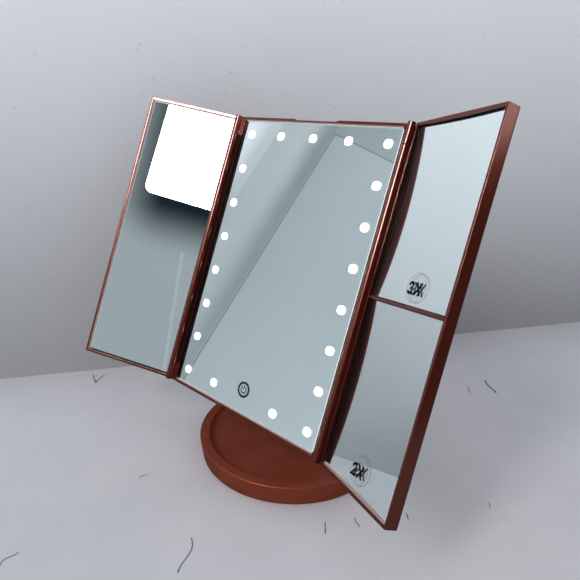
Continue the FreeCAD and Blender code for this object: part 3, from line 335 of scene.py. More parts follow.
COPPER = copper("rose gold coat", (0.500, 0.085, 0.042), (0.420, 0.066, 0.031), (0.26, 0.34), 0.82, 1.0)
COPPER_TRAY = copper("rose gold coat, tray", (0.560, 0.125, 0.066), (0.470, 0.098, 0.050),
                     (0.34, 0.44), 0.5, 0.08)
# Darker copies of the copper: painted shade on the right barrel's flank, the recess wall beside it and the glass
# grooves.
COPPER_PAINTED_SHADE_FLANK = copper("rose gold coat, painted shade on flank", (0.060, 0.010, 0.005), (0.042, 0.006, 0.003),
                      (0.45, 0.55), 0.5, 0.0)
COPPER_PAINTED_SHADE_BARREL = copper("rose gold coat, painted shade on barrel", (0.135, 0.013, 0.006), (0.105, 0.009, 0.004),
                      (0.50, 0.60), 0.6, 0.0)
SILVER = silver("silvering")
GLASS = clear_glass("clear float glass")
# Ground glass edge: white, with a painted glow of its own.
GROUND_EDGE_PAINTED_GLOW = plain("ground glass edge, painted glow", (0.92, 0.96, 0.96), (0.84, 0.90, 0.90), 0.45, scale=900.0, lit=0.60)
RAW_EDGE = plain("raw glass edge", (0.030, 0.045, 0.043), (0.018, 0.030, 0.028), 0.35, scale=900.0)
LAMP = glow("lit lamp window", (1.0, 1.0, 0.985), 3.0)
INK = foil("black ink", (0.008, 0.009, 0.009), (0.004, 0.005, 0.005), 0.6, 1.0, 0.08)
SYMBOL = foil("etched dark green symbol", (0.005, 0.014, 0.013), (0.002, 0.008, 0.008), 0.5, 1.0, 0.15)
FILM_RIM = foil("film rim", (0.45, 0.50, 0.52), (0.36, 0.41, 0.43), 0.3, 0.55)
FILM = foil("clear film", (0.86, 0.90, 0.91), (0.80, 0.85, 0.86), 0.12, 0.07)
BLACK = plain("black plastic", (0.020, 0.020, 0.021), (0.012, 0.012, 0.013), 0.42)
RUBBER = plain("black rubber", (0.018, 0.018, 0.018), (0.010, 0.010, 0.010), 0.75, bump=0.3)
GREY = plain("inner plastic", (0.62, 0.61, 0.59), (0.55, 0.54, 0.52), 0.55)
WHITE = plain("white lamp board", (0.86, 0.86, 0.83), (0.80, 0.80, 0.77), 0.5)
GREEN = plain("green board", (0.020, 0.140, 0.060), (0.014, 0.105, 0.045), 0.35, scale=500.0, coat=0.4)
STEEL = brushed("zinc plated steel", (0.70, 0.71, 0.72), (0.56, 0.57, 0.58), 0.28)
SPRING = brushed("nickel spring steel", (0.78, 0.77, 0.74), (0.62, 0.61, 0.58), 0.2)
IRON = plain("ballast steel", (0.20, 0.20, 0.21), (0.12, 0.12, 0.13), 0.55, metal=0.9, scale=60.0)
FOAM = plain("foam tape", (0.82, 0.81, 0.78), (0.70, 0.69, 0.66), 0.9, scale=800.0, bump=0.6)
JACKET = plain("cell jacket", (0.085, 0.105, 0.130), (0.060, 0.078, 0.100), 0.28, scale=200.0, coat=0.5)
SLEEVE = plain("wire sleeve", (0.50, 0.030, 0.022), (0.36, 0.018, 0.014), 0.45)

SLOT_MATERIALS = {
    "copper_plastic": COPPER, "inner_plastic": GREY, "silvered_glass": SILVER, "clear_film": FILM,
    "lamp_white": WHITE, "board_green": GREEN, "bright_steel": STEEL, "spring_steel": SPRING,
    "ballast_steel": IRON, "black_rubber": RUBBER, "foam_tape": FOAM, "cell_jacket": JACKET,
    "lead_sleeve": SLEEVE, "black_plastic": BLACK,
}
for entry in frame["record"]["subparts"]:
    node = NODES[entry["node"]]
    node.data.materials.clear()
    node.data.materials.append(SLOT_MATERIALS[entry["material_slot"]])


# ---------------------------------------------------------------- mesh helpers
def placed(name, data):
    obj = bpy.data.objects.new(name, data)
    bpy.context.scene.collection.objects.link(obj)
    return obj


def applied(obj):
    """New mesh of the object with its modifiers applied."""
    return bpy.data.meshes.new_from_object(obj.evaluated_get(bpy.context.evaluated_depsgraph_get()))


def piece(name, verts, faces, where, body, material, slot, smooth):
    """Object on a body, from points in millimetres in a local frame; smooth is an angle, or 0 for flat."""
    mesh = bpy.data.meshes.new(name)
    mesh.from_pydata([where @ (Vector(v) * MM) for v in verts], [], faces)
    mesh.materials.append(material)
    obj = placed(name, mesh)
    bm = bmesh.new()
    bm.from_mesh(mesh)
    bmesh.ops.recalc_face_normals(bm, faces=bm.faces)
    bm.to_mesh(mesh)
    bm.free()
    if smooth:
        mesh.shade_smooth()
        mesh.set_sharp_from_angle(angle=math.radians(smooth))
    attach(obj, body)
    return obj


def lathe(profile, steps):
    """Points and faces of a closed profile (radius, level) turned about the z axis."""
    verts = []
    for k in range(steps):
        a = 2 * math.pi * k / steps
        verts += [(r * math.cos(a), r * math.sin(a), z) for r, z in profile]
    n = len(profile)
    faces = []
    for k in range(steps):
        here = k * n
        there = ((k + 1) % steps) * n
        faces += [(here + i, there + i, there + (i + 1) % n, here + (i + 1) % n) for i in range(n)]
    return verts, faces


def fillet(points, steps):
    """Closed profile whose corners (a, b, radius) are rounded."""
    out = []
    count = len(points)
    for k, (x, y, r) in enumerate(points):
        p = Vector((x, y))
        if r <= 0:
            out.append((x, y))
            continue
        before = (Vector(points[k - 1][:2]) - p).normalized()
        after = (Vector(points[(k + 1) % count][:2]) - p).normalized()
        half = before.angle(after) / 2
        reach = r / math.tan(half)
        centre = p + (before + after).normalized() * (r / math.sin(half))
        a = p + before * reach - centre
        b = p + after * reach - centre
        for s in range(steps + 1):
            t = s / steps
            d = a * math.sin((1 - t) * a.angle(b)) + b * math.sin(t * a.angle(b))
            out.append(tuple(centre + d.normalized() * r))
    return out


def merge(parts):
    verts, faces = [], []
    for v, f in parts:
        shift = len(verts)
        verts += v
        faces += [tuple(i + shift for i in face) for face in f]
    return verts, faces


def arc(centre, radius, start, end, steps):
    """Points of an arc in the x-z plane, angles in degrees."""
    return [(centre[0] + radius * math.cos(math.radians(start + (end - start) * k / steps)),
             centre[1] + radius * math.sin(math.radians(start + (end - start) * k / steps)))
            for k in range(steps + 1)]


def stroke(points, width, front, thick, cap=6):
    """Pen stroke of even width along points in the x-z plane, with round ends and real thickness."""
    half = width / 2
    pts = [Vector(p) for p in points]
    left, right = [], []
    for k, p in enumerate(pts):
        a = (p - pts[k - 1]).normalized() if k else (pts[1] - p).normalized()
        b = (pts[k + 1] - p).normalized() if k + 1 < len(pts) else a
        t = (a + b).normalized()
        normal = Vector((-t.y, t.x))
        grow = half / max(0.5, normal.dot(Vector((-a.y, a.x))))
        left.append(p + normal * grow)
        right.append(p - normal * grow)

    def round_end(p, t, sign):
        n = Vector((-t.y, t.x))
        turns = [math.pi * k / cap for k in range(1, cap)]
        return [p + n * half * math.cos(turn) * sign + t * half * math.sin(turn) for turn in turns]

    tail = (pts[0] - pts[1]).normalized()
    head = (pts[-1] - pts[-2]).normalized()
    ring = left + round_end(pts[-1], head, 1) + right[::-1] + round_end(pts[0], tail, 1)
    n = len(ring)
    verts = [(p.x, front, p.y) for p in ring] + [(p.x, front + thick, p.y) for p in ring]
    faces = [tuple(range(n)), tuple(range(2 * n - 1, n - 1, -1))]
    faces += [(i, (i + 1) % n, n + (i + 1) % n, n + i) for i in range(n)]
    return verts, faces


# ---------------------------------------------------------------- moulded shells with eased edges
def block(x0, x1, y0, y1, z0, z1):
    verts = [(x, y, z) for z in (z0, z1) for x, y in ((x0, y0), (x1, y0), (x1, y1), (x0, y1))]
    return verts, [(3, 2, 1, 0), (4, 5, 6, 7), (0, 1, 5, 4), (1, 2, 6, 5), (2, 3, 7, 6), (3, 0, 4, 7)]


def carved(mesh, where, blocks):
    """The closed mesh with blocks, in millimetres in a local frame, cut out of it."""
    target = placed("carved", mesh)
    tools = []
    for verts, faces in blocks:
        tool_mesh = bpy.data.meshes.new("cutter")
        tool_mesh.from_pydata([where @ (Vector(v) * MM) for v in verts], [], faces)
        tool = placed("cutter", tool_mesh)
        cut = target.modifiers.new("cut", "BOOLEAN")
        cut.operation = "DIFFERENCE"
        cut.solver = "EXACT"
        cut.object = tool
        tools.append(tool)
    result = applied(target)
    for obj in tools + [target]:
        bpy.data.objects.remove(obj)
    return result


def flat_faced(mesh):
    """The mesh with normals that keep its large flat faces evenly shaded beside rounded edges."""
    holder = placed("shading", mesh)
    even = holder.modifiers.new("even", "WEIGHTED_NORMAL")
    even.keep_sharp = True
    result = applied(holder)
    bpy.data.objects.remove(holder)
    return result


def shade_painted_faces(mesh, grooved):
    """Gives the faces round the right barrel, and those of the glass grooves, darker copies of the copper as
    painted shade.
    """
    mesh.materials.append(COPPER_PAINTED_SHADE_FLANK)
    mesh.materials.append(COPPER_PAINTED_SHADE_BARREL)
    to_wing = RIGHT_WING.inverted()
    to_panel = PANEL.inverted()
    for face in mesh.polygons:      # shaded ones lie near the hinge axis and face the wing's panes
        middle = to_wing @ face.center / MM
        facing = to_wing.to_3x3() @ face.normal
        spot = to_panel @ face.center / MM
        # painted shade: darker copper on barrel faces turned to the panes, and on the groove faces
        if facing.x > 0.3 and facing.y > -0.5 and math.hypot(middle.x, middle.y) < FLANK_END:
            face.material_index = 1 if middle.x > FLANK_U else 2
        across = GROOVE_IN - FACE_REACH < abs(spot.x) < GROOVE_OUT + 3 * FACE_REACH
        if grooved and across and spot.y < GROOVE_DEEP + FACE_REACH and abs(spot.z) < KNUCKLE_Z:
            face.material_index = 1


def eased(node, body, width, blocks):
    """The node's shape again with its sharp edges rounded, as moulded parts have them."""
    source = NODES[node]
    mesh = source.data.copy()
    mesh.transform(source.matrix_world)
    if blocks:
        mesh = carved(mesh, PANEL, blocks)
    mesh.materials.clear()
    mesh.materials.append(COPPER)
    bm = bmesh.new()
    bm.from_mesh(mesh)
    bmesh.ops.remove_doubles(bm, verts=bm.verts, dist=2e-6)
    edges = [e for e in bm.edges if e.is_manifold and e.calc_face_angle(0.0) > math.radians(SHARP)]
    bmesh.ops.bevel(bm, geom=edges, offset=width * MM, offset_type="OFFSET", segments=2, profile=0.5,
                    affect="EDGES", clamp_overlap=False)
    bm.to_mesh(mesh)
    bm.free()
    mesh.shade_smooth()
    mesh.set_sharp_from_angle(angle=math.radians(SMOOTH))
    mesh = flat_faced(mesh)
    # The right wing shell and the centre frame get painted shade round the right barrel and in the grooves.
    if node in ("right_wing_shell", "center_frame"):
        shade_painted_faces(mesh, bool(blocks))
    obj = placed(node + "_eased", mesh)
    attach(obj, body)
    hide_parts(node)


grooves = [block(side * GROOVE_IN, side * out, GROOVE_FRONT, GROOVE_DEEP, -half, half)
           for side in (-1, 1) for out, half in ((GROOVE_OUT, KNUCKLE_Z), (GROOVE_MID, GROOVE_HALF))]
eased("center_frame", "panel", 0.3, grooves)
eased("rear_cover", "panel", 0.3, [])
eased("left_wing_shell", "left_wing", 0.3, [])
eased("right_wing_shell", "right_wing", 0.3, [])
eased("neck_front", "stand", 0.3, [])
eased("neck_rear", "stand", 0.3, [])
eased("battery_door", "battery_door", 0.2, [])

# ---------------------------------------------------------------- base tray
tray_profile = [(r, WELL_FLOOR) for r in FLOOR_RINGS]
for degrees in range(0, 91, 9):
    turn = math.radians(degrees)
    tray_profile.append((WELL_R - COVE + COVE * math.sin(turn), WELL_FLOOR + COVE - COVE * math.cos(turn)))
FOOT_IN_R = BASE_FOOT_R - FOOT_WALL
rim = fillet([(WELL_R, WELL_FLOOR + COVE, 0), (WELL_R, BASE_H, 0.7), (BASE_R, BASE_H, 1.1),
              (BASE_FOOT_R, PAD_T, 0.6), (FOOT_IN_R, PAD_T, 0.4), (FOOT_IN_R, UNDERSIDE, 0),
              (0.0, UNDERSIDE, 0)], 6)
tray_profile += rim[1:]
turned = lathe(tray_profile, 192)
tray = piece("tray", *turned, Matrix.Identity(4), "stand", COPPER_TRAY, "copper_plastic", 40)
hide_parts("base_tray")


def rounded_rect(half_w, half_d, radius, steps=8):
    pts = []
    for sx, sy, start in ((1, 1, 0), (-1, 1, 90), (-1, -1, 180), (1, -1, 270)):
        for k in range(steps + 1):
            a = math.radians(start + 90 * k / steps)
            pts.append((sx * (half_w - radius) + radius * math.cos(a),
                        sy * (half_d - radius) + radius * math.sin(a)))
    return pts


def stacked(levels):
    """Closed solid through equal-sized rings, each a list of points, capped at both ends."""
    n = len(levels[0])
    verts = [p for ring in levels for p in ring]
    faces = []
    for k in range(len(levels) - 1):
        a, b = k * n, (k + 1) * n
        faces += [(a + i, a + (i + 1) % n, b + (i + 1) % n, b + i) for i in range(n)]
    faces.append(tuple(range(n - 1, -1, -1)))
    faces.append(tuple(range(len(verts) - n, len(verts))))
    return verts, faces


rings = []
for grow, level in PLINTH_STEPS:
    outline = rounded_rect(PLINTH_HALF + grow, PLINTH_HALF + grow - PLINTH_NARROW, PLINTH_CORNER)
    rings.append([(x, y + PLINTH_Y, level) for x, y in outline])
piece("neck_plinth", *stacked(rings), Matrix.Identity(4), "stand", COPPER_TRAY, "copper_plastic", 35)


# ---------------------------------------------------------------- glass panes
def pane(name, sides, front, where, body, node, ground, bow=None):
    """Float glass with silvering behind it; gives the function for how far its curve lies back.

    sides are x0, x1, z0 and z1, and ground names those whose edge is ground white with a painted glow; the others
    are raw.
    bow is the radius, middle x and middle z of a concave pane."""
    x0, x1, z0, z1 = sides
    glass_back = front + GLASS_T - GLASS_SHORT
    sheet_y = front + GLASS_T - SHEET_SHORT

    def sag(x, z):
        if not bow:
            return 0.0
        radius, mx, mz = bow
        edge = math.hypot((x1 - x0) / 2, (z1 - z0) / 2)
        rim = math.sqrt(radius ** 2 - edge ** 2)
        return math.sqrt(max(radius ** 2 - (x - mx) ** 2 - (z - mz) ** 2, 0.0)) - rim

    columns, rows = (1, 1) if not bow else (24, 32)

    def grid(y, inset):
        xs = [x0 + inset + (x1 - x0 - 2 * inset) * i / columns for i in range(columns + 1)]
        zs = [z0 + inset + (z1 - z0 - 2 * inset) * j / rows for j in range(rows + 1)]
        return [(x, y + sag(x, z), z) for z in zs for x in xs]

    def grid_faces(shift, flip):
        w = columns + 1
        corners = [shift + j * w + i for j in range(rows) for i in range(columns)]
        quads = [(c, c + 1, c + w + 1, c + w) for c in corners]
        return [q[::-1] for q in quads] if flip else quads

    def border():
        w = columns + 1
        ring = list(range(w)) + [j * w + columns for j in range(1, rows + 1)]
        ring += [rows * w + i for i in range(columns - 1, -1, -1)]
        return ring + [j * w for j in range(rows - 1, 0, -1)]

    count = (columns + 1) * (rows + 1)
    ring = border()
    full = grid(front + GLASS_BEVEL, 0.0)
    verts = grid(front, GLASS_BEVEL) + grid(glass_back, 0.0) + [full[i] for i in ring]
    faces = grid_faces(0, False) + grid_faces(count, True)
    n = len(ring)
    base = 2 * count
    chamfer_start = len(faces)
    steps = [(i, (i + 1) % n) for i in range(n)]
    faces += [(ring[b], ring[a], base + a, base + b) for a, b in steps]
    faces += [(base + b, base + a, count + ring[a], count + ring[b]) for a, b in steps]
    glass = piece(name + "_glass", verts, faces, where, body, GLASS, "silvered_glass", 20)
    glass.data.materials.append(GROUND_EDGE_PAINTED_GLOW)
    glass.data.materials.append(RAW_EDGE)
    edges = ["z0"] * columns + ["x1"] * rows + ["z1"] * columns + ["x0"] * rows
    for k, polygon in enumerate(glass.data.polygons[chamfer_start:]):
        polygon.material_index = 1 if k < n and edges[k % n] in ground else 2
    verts = grid(sheet_y, SHEET_INSET)
    verts += [(x, y + SHEET_T, z) for x, y, z in verts]
    faces = grid_faces(0, False) + grid_faces(count, True)
    faces += [(ring[b], ring[a], count + ring[a], count + ring[b]) for a, b in steps]
    sheet = piece(name + "_silvering", verts, faces, where, body, SILVER, "silvered_glass", 20)
    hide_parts(node)
    return sag


def concave(name, node, middle, radius, ground):
    """Concave pane of the right wing, at a level above the middle of the glass."""
    sides = (PANE_U - PANE_HALF_U, PANE_U + PANE_HALF_U, middle - PANE_HALF_Z, middle + PANE_HALF_Z)
    return pane(name, sides, PANE_FRONT, RIGHT_WING, "right_wing", node, ground, (radius, PANE_U, middle))


pane("center", (-GLASS_HALF_W, GLASS_HALF_W, -GLASS_HALF_H, GLASS_HALF_H), 0.0, PANEL, "panel",
     "center_mirror", ("x1", "z0", "z1"))
pane("left", (POCKET_IN + FIT, POCKET_OUT - FIT, -GLASS_HALF_H, GLASS_HALF_H), PANE_FRONT, LEFT_WING,
     "left_wing", "left_mirror", ("x1", "z1"))
upper_sag = concave("upper", "right_upper_mirror", PANE_MID, UPPER_RADIUS, ())
lower_sag = concave("lower", "right_lower_mirror", -PANE_MID, LOWER_RADIUS, ("z0",))

# ---------------------------------------------------------------- lamp windows and touch symbol
lamp_pitch = 2 * LED_Z / (LED_ROWS - 1)
lamps = [(side * LED_X, -LED_Z + lamp_pitch * row) for side in (-1, 1) for row in range(LED_ROWS)]
lamps += [(x, LED_Z) for x in (-LED_X / 2, 0.0, LED_X / 2)]
lamps += [(x, -LED_Z) for x in (-LED_X / 2, LED_X / 2)]


def lamp_window(x, z):
    """Thin frosted window with a soft rounded square outline."""
    ring = []
    for k in range(WINDOW_POINTS):
        a = 2 * math.pi * k / WINDOW_POINTS
        r = WINDOW_R * (1 + WINDOW_SQUARE * math.cos(4 * a + math.pi))
        ring.append((x + WINDOW_WIDE * r * math.cos(a), z + WINDOW_TALL * r * math.sin(a)))
    n = len(ring)
    verts = [(a, WINDOW_Y, b) for a, b in ring] + [(a, WINDOW_Y + PRINT_T, b) for a, b in ring]
    faces = [tuple(range(n)), tuple(range(2 * n - 1, n - 1, -1))]
    faces += [(i, (i + 1) % n, n + (i + 1) % n, n + i) for i in range(n)]
    return verts, faces


windows = merge([lamp_window(x, z) for x, z in lamps])
piece("lamp_windows", *windows, PANEL, "panel", LAMP, "lamp_white", 0)

symbol = merge([
    stroke(arc((0, TOUCH_Z), SYMBOL_R, 0, 360, 64), SYMBOL_LINE, WINDOW_Y, PRINT_T, 4),
    stroke(arc((0, TOUCH_Z), GLYPH_R, 130, 410, 40), GLYPH_LINE, WINDOW_Y, PRINT_T),
    stroke([(0, TOUCH_Z + GLYPH_LOW), (0, TOUCH_Z + GLYPH_TOP)], GLYPH_LINE, WINDOW_Y, PRINT_T),
])
piece("touch_symbol", *symbol, PANEL, "panel", SYMBOL, "black_plastic", 0)


# ---------------------------------------------------------------- magnification labels
def figure(kind, w, h, x, z):
    """Strokes of one figure, w wide and h high, whose lower left corner is (x, z)."""
    if kind == "3":
        top = [(x + 0.08 * w, z + 0.80 * h)] + arc((x + w * 0.45, z + h * 0.74), h * 0.26, 125, -80, 14)
        low = arc((x + w * 0.44, z + h * 0.27), h * 0.27, 80, -155, 16)
        return [top + low[1:]]
    if kind == "2":
        bow = arc((x + w * 0.48, z + h * 0.72), h * 0.28, 165, -30, 14)
        return [bow + [(x + 0.04 * w, z + 0.02 * h), (x + w, z + 0.02 * h)]]
    return [[(x, z), (x + w, z + h)], [(x, z + h), (x + w, z)]]


def round_ring(radius, count=48):
    turns = [2 * math.pi * k / count for k in range(count)]
    return [(radius * math.cos(turn), radius * math.sin(turn)) for turn in turns]


def label(name, text, place, starts, slant, sag):
    """Clear round film with its rim line and two printed figures, following the pane."""
    u0, z0 = place
    front = PANE_FRONT - FILM_OFF

    def on_glass(part, lift):
        v, f = part
        return [(x, y + front - lift + sag(x, z), z) for x, y, z in v], f

    inks = []
    for mark, (du, dz) in zip(text, starts):
        for line in figure(mark, FIGURE_W, FIGURE_H, u0 + du, z0 + dz):
            line = [(x, z + (x - u0) * slant) for x, z in line]
            inks.append(on_glass(stroke(line, INK_W, 0.0, INK_T), 2 * INK_T))
    piece(name + "_ink", *merge(inks), RIGHT_WING, "right_wing", INK, "black_plastic", 0)
    circle = [(u0 + a, z0 + b) for a, b in arc((0, 0), LABEL_R - RIM_INSET, 0, 360, 72)]
    rim = on_glass(stroke(circle, RIM_LINE, 0.0, RIM_T, 4), 0.0)
    piece(name + "_rim", *rim, RIGHT_WING, "right_wing", FILM_RIM, "clear_film", 0)
    rings = [round_ring(LABEL_R * r / FILM_RINGS) for r in range(1, FILM_RINGS + 1)]
    count = len(rings[0])
    pts = [(u0, FILM_LIFT, z0)] + [(u0 + a, FILM_LIFT, z0 + b) for ring in rings for a, b in ring]
    faces = [(0, 1 + k, 1 + (k + 1) % count) for k in range(count)]
    for r in range(len(rings) - 1):
        a, b = 1 + r * count, 1 + (r + 1) * count
        faces += [(a + k, b + k, b + (k + 1) % count, a + (k + 1) % count) for k in range(count)]
    disc = on_glass((pts, faces), 0.0)
    film = piece(name + "_film", *disc, RIGHT_WING, "right_wing", FILM, "clear_film", 30)
    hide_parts(name)


label("label_3x", "3X", UPPER_LABEL, ((-7.6, -4.2), (0.2, -4.2)), 0.0, upper_sag)
label("label_2x", "2X", LOWER_LABEL, ((-7.8, -4.3), (-0.5, -4.3)), 0.09, lower_sag)


# ---------------------------------------------------------------- camera, fitted to the photograph's view
CAMERA_AT = Vector((0.29123, -0.31877, 0.30718))
CAMERA_VIEW = Vector((-0.64038, 0.69009, -0.33718)).normalized()
CAMERA_UP = Vector((-0.23147, 0.24520, 0.94144)).normalized()
camera_data = bpy.data.cameras.new("camera")
camera_data.lens = 33.487
camera_data.sensor_width = 36.0
camera_data.clip_start = 0.01
camera_data.clip_end = 50.0
camera = placed("camera", camera_data)
camera_side = CAMERA_VIEW.cross(CAMERA_UP).normalized()
camera.matrix_world = axes_matrix(camera_side, camera_side.cross(CAMERA_VIEW), -CAMERA_VIEW, CAMERA_AT)
bpy.context.scene.camera = camera


# ---------------------------------------------------------------- floor and wall
def backdrop(n, shader, colour, camera, mirror, dim, painted_shade_ao_reach):
    """Finishes a backdrop: camera rays and mirrors see it brighter by some, and metal sees it dimmed; the camera's
    share is darkened near other things as painted shade.
    """
    path = n.add("ShaderNodeLightPath")
    direct = n.math("MULTIPLY", path.outputs["Is Camera Ray"], camera)
    mirrored = n.math("MULTIPLY", path.outputs["Is Transmission Ray"], mirror)
    # Painted shade: the glow that camera rays see is darkened near other things by ambient occlusion.
    painted_shade_ao = n.add("ShaderNodeAmbientOcclusion", samples=6)
    painted_shade_ao.inputs["Distance"].default_value = painted_shade_ao_reach
    n.link(colour, shader.inputs["Emission Color"])
    lift = n.math("ADD", n.math("MULTIPLY", direct, painted_shade_ao.outputs["AO"]), mirrored)
    n.link(lift, shader.inputs["Emission Strength"])
    dark = n.add("ShaderNodeEmission")
    dark.inputs["Strength"].default_value = 0.0
    choose = n.add("ShaderNodeMixShader")
    metal = n.math("SUBTRACT", path.outputs["Is Glossy Ray"], path.outputs["Is Transmission Ray"])
    n.link(n.math("MULTIPLY", n.math("MAXIMUM", metal, 0.0), dim), choose.inputs[0])
    n.link(shader.outputs[0], choose.inputs[1])
    n.link(dark.outputs[0], choose.inputs[2])
    n.link(choose.outputs[0], n.out.inputs["Surface"])
    return choose.outputs[0]


def mottled(name, light, dark, marks, glow, mirrored, dim):
    """Pale painted surface with faint mottling and a few grey specks."""
    n = Nodes(name)
    s = n.shader(Roughness=0.85)
    cloud = n.noise(7.0, 5.0, 0.6)
    base = n.ramp(cloud, [(0.3, dark), (0.7, light)])
    speck = n.noise(150.0, 3.0, 0.75)
    mask = n.ramp(speck, [(0.24, (1, 1, 1)), (0.31, (0, 0, 0))])
    mix = n.add("ShaderNodeMix", data_type="RGBA")
    n.link(n.math("MULTIPLY", mask, 0.6), mix.inputs["Factor"])
    n.link(base, mix.inputs[6])
    mix.inputs[7].default_value = (*marks, 1.0)
    n.link(mix.outputs[2], s.inputs["Base Color"])
    n.link(n.bump(n.noise(60.0, 4.0, 0.6), 0.25, 0.002), s.inputs["Normal"])
    backdrop(n, s, mix.outputs[2], glow, mirrored, dim, 0.10)
    return n.mat


def stage_mesh(name, verts, faces, material):
    mesh = bpy.data.meshes.new(name)
    mesh.from_pydata(verts, [], faces)
    mesh.materials.append(material)
    mesh.shade_smooth()
    obj = placed(name, mesh)
    return obj


FLOOR = mottled("pale floor", (0.700, 0.705, 0.745), (0.630, 0.635, 0.680), (0.30, 0.30, 0.33),
                0.25, 0.31, 0.8)
stage_mesh("floor", [(-6, -6, 0), (6, -6, 0), (6, 6, 0), (-6, 6, 0)], [(0, 1, 2, 3)], FLOOR)

MARK_TOP = 0.3
MARK_T = 0.2
MARK = plain("floor scratch", (0.240, 0.240, 0.255), (0.170, 0.170, 0.185), 0.9)
# Fibres and hairline scratches on the floor: middle x and y, turn in degrees, length, bow and width.
MARKS = (
    (-54, -238, 110, 14, 2.0, 0.6), (35, -150, -50, 31, 2.5, 0.7), (91, -63, -49, 11, 0.0, 0.7),
    (105, -42, -38, 9, -0.8, 0.6), (130, -10, -44, 6, 0.0, 0.6), (78, 205, -55, 13, 0.0, 0.7),
    (92, 228, -43, 27, -1.0, 1.4), (-249, -68, -20, 20, 0.0, 1.0), (-245, -63, 122, 18, 0.5, 1.0),
    (-61, -124, 90, 7, 0.8, 0.5), (172, 45, -56, 6, 0.0, 0.5),
)


def fibre(x, y, turn, length, bow, width):
    """Thin line that snakes a little about its straight run, lying on the floor."""
    along = Vector((math.cos(math.radians(turn)), math.sin(math.radians(turn))))
    across = Vector((-along.y, along.x))
    middle = Vector((x, y))
    points = []
    for k in range(9):
        share = k / 8
        points.append(middle + along * length * (share - 0.5) + across * bow * math.sin(5.0 * share))
    return stroke(points, width, -MARK_TOP, MARK_T, 3)


mark_verts, mark_faces = merge([fibre(*mark) for mark in MARKS])
stage_mesh("floor_marks", [(x * MM, z * MM, -y * MM) for x, y, z in mark_verts], mark_faces, MARK)

# The wall stands close behind the left wing; its far end turns a corner into a second wall, which the
# centre pane shows. Both are seen from the front only.
WALL_OUT = Vector((0.827, -0.563, 0.0)).normalized()
WALL_ALONG = Vector((0.563, 0.827, 0.0)).normalized()
WALL_AT = WALL_OUT * -0.191
NEAR_END = 2.4
WALL_END = -0.865
PANEL_LINE = -0.455
SIDE_RUN = 0.37
RAIL_Z = 0.835
WALL_TOP = 1.7
LINE_PROUD = 0.002
LINE_HALF = 0.0025


def wall_strip(name, start, end, low, high, material):
    verts = [end + Vector((0, 0, low)), start + Vector((0, 0, low)), start + Vector((0, 0, high)),
             end + Vector((0, 0, high))]
    stage_mesh(name, verts, [(0, 1, 2, 3)], material)


def wall_paint(name, low, high, glow, mirrored, ends=None):
    """Pale paint that gets lighter with height as painted light, on a wall seen from its front only."""
    n = Nodes(name)
    s = n.shader(Roughness=0.9)
    place = n.add("ShaderNodeSeparateXYZ")
    n.link(n.coord, place.inputs[0])
    # Painted light: colour and glow grow lighter with height.
    painted_light_by_height = n.span(place.outputs["Z"], 0.0, 1.0, 0.02, 0.42)
    cloud = n.noise(7.0, 5.0, 0.6)
    tone = n.math("ADD", n.math("MULTIPLY", painted_light_by_height, 0.85), n.math("MULTIPLY", cloud, 0.15))
    base = n.ramp(tone, [(0.0, low), (1.0, high)])
    speck = n.ramp(n.noise(150.0, 3.0, 0.75), [(0.26, (1, 1, 1)), (0.33, (0, 0, 0))])
    mix = n.add("ShaderNodeMix", data_type="RGBA")
    n.link(n.math("MULTIPLY", speck, 0.5), mix.inputs["Factor"])
    n.link(base, mix.inputs[6])
    mix.inputs[7].default_value = (0.34, 0.34, 0.37, 1.0)
    n.link(mix.outputs[2], s.inputs["Base Color"])
    reflected = n.span(painted_light_by_height, *mirrored)
    # Painted light: mirrors see the wall brighter towards one end.
    if ends:
        along = n.math("ADD", n.math("MULTIPLY", place.outputs["X"], WALL_ALONG.x),
                       n.math("MULTIPLY", place.outputs["Y"], WALL_ALONG.y))
        reflected = n.math("MULTIPLY", reflected, n.span(along, 0.38, 1.0, *ends))
    surface = backdrop(n, s, mix.outputs[2], n.span(painted_light_by_height, *glow), reflected, 0.5, 0.28)
    n.link(n.bump(n.noise(60.0, 4.0, 0.6), 0.25, 0.002), s.inputs["Normal"])
    geometry = n.add("ShaderNodeNewGeometry")
    clear = n.add("ShaderNodeBsdfTransparent")
    choose = n.add("ShaderNodeMixShader")
    n.link(geometry.outputs["Backfacing"], choose.inputs[0])
    n.link(surface, choose.inputs[1])
    n.link(clear.outputs[0], choose.inputs[2])
    n.link(choose.outputs[0], n.out.inputs["Surface"])
    return n.mat


NEAR_PAINT = wall_paint("near wall", (0.51, 0.52, 0.55), (0.74, 0.76, 0.81), (0.10, 0.38), (0.24, 0.76),
                        (-0.42, -0.34))


def even_paint(name, colour, glow, mirrored):
    return wall_paint(name, colour, colour, glow, mirrored)


FAR_PAINT = even_paint("near wall, far stretch", (0.55, 0.59, 0.61), (0.45, 0.35), (0.47, 0.37))
SIDE_PAINT = even_paint("side wall", (0.62, 0.66, 0.70), (0.60, 0.50), (0.62, 0.52))
OVER_PAINT = even_paint("side wall above its rail", (0.54, 0.58, 0.61), (0.40, 0.40), (0.46, 0.46))
LINE_PAINT = even_paint("wall corner line", (0.40, 0.42, 0.45), (0.45, 0.45), (0.45, 0.45))
near_end = WALL_AT + WALL_ALONG * NEAR_END
joint = WALL_AT + WALL_ALONG * PANEL_LINE
corner = WALL_AT + WALL_ALONG * WALL_END
side_end = corner + WALL_OUT * SIDE_RUN
wall_strip("wall_near", near_end, joint, 0.0, WALL_TOP, NEAR_PAINT)
wall_strip("wall_far", joint, corner, 0.0, WALL_TOP, FAR_PAINT)
wall_strip("wall_side", corner, side_end, 0.0, RAIL_Z, SIDE_PAINT)
wall_strip("wall_over", corner, side_end, RAIL_Z, WALL_TOP, OVER_PAINT)
line_start = corner + WALL_ALONG * LINE_PROUD
line_end = side_end + WALL_ALONG * LINE_PROUD
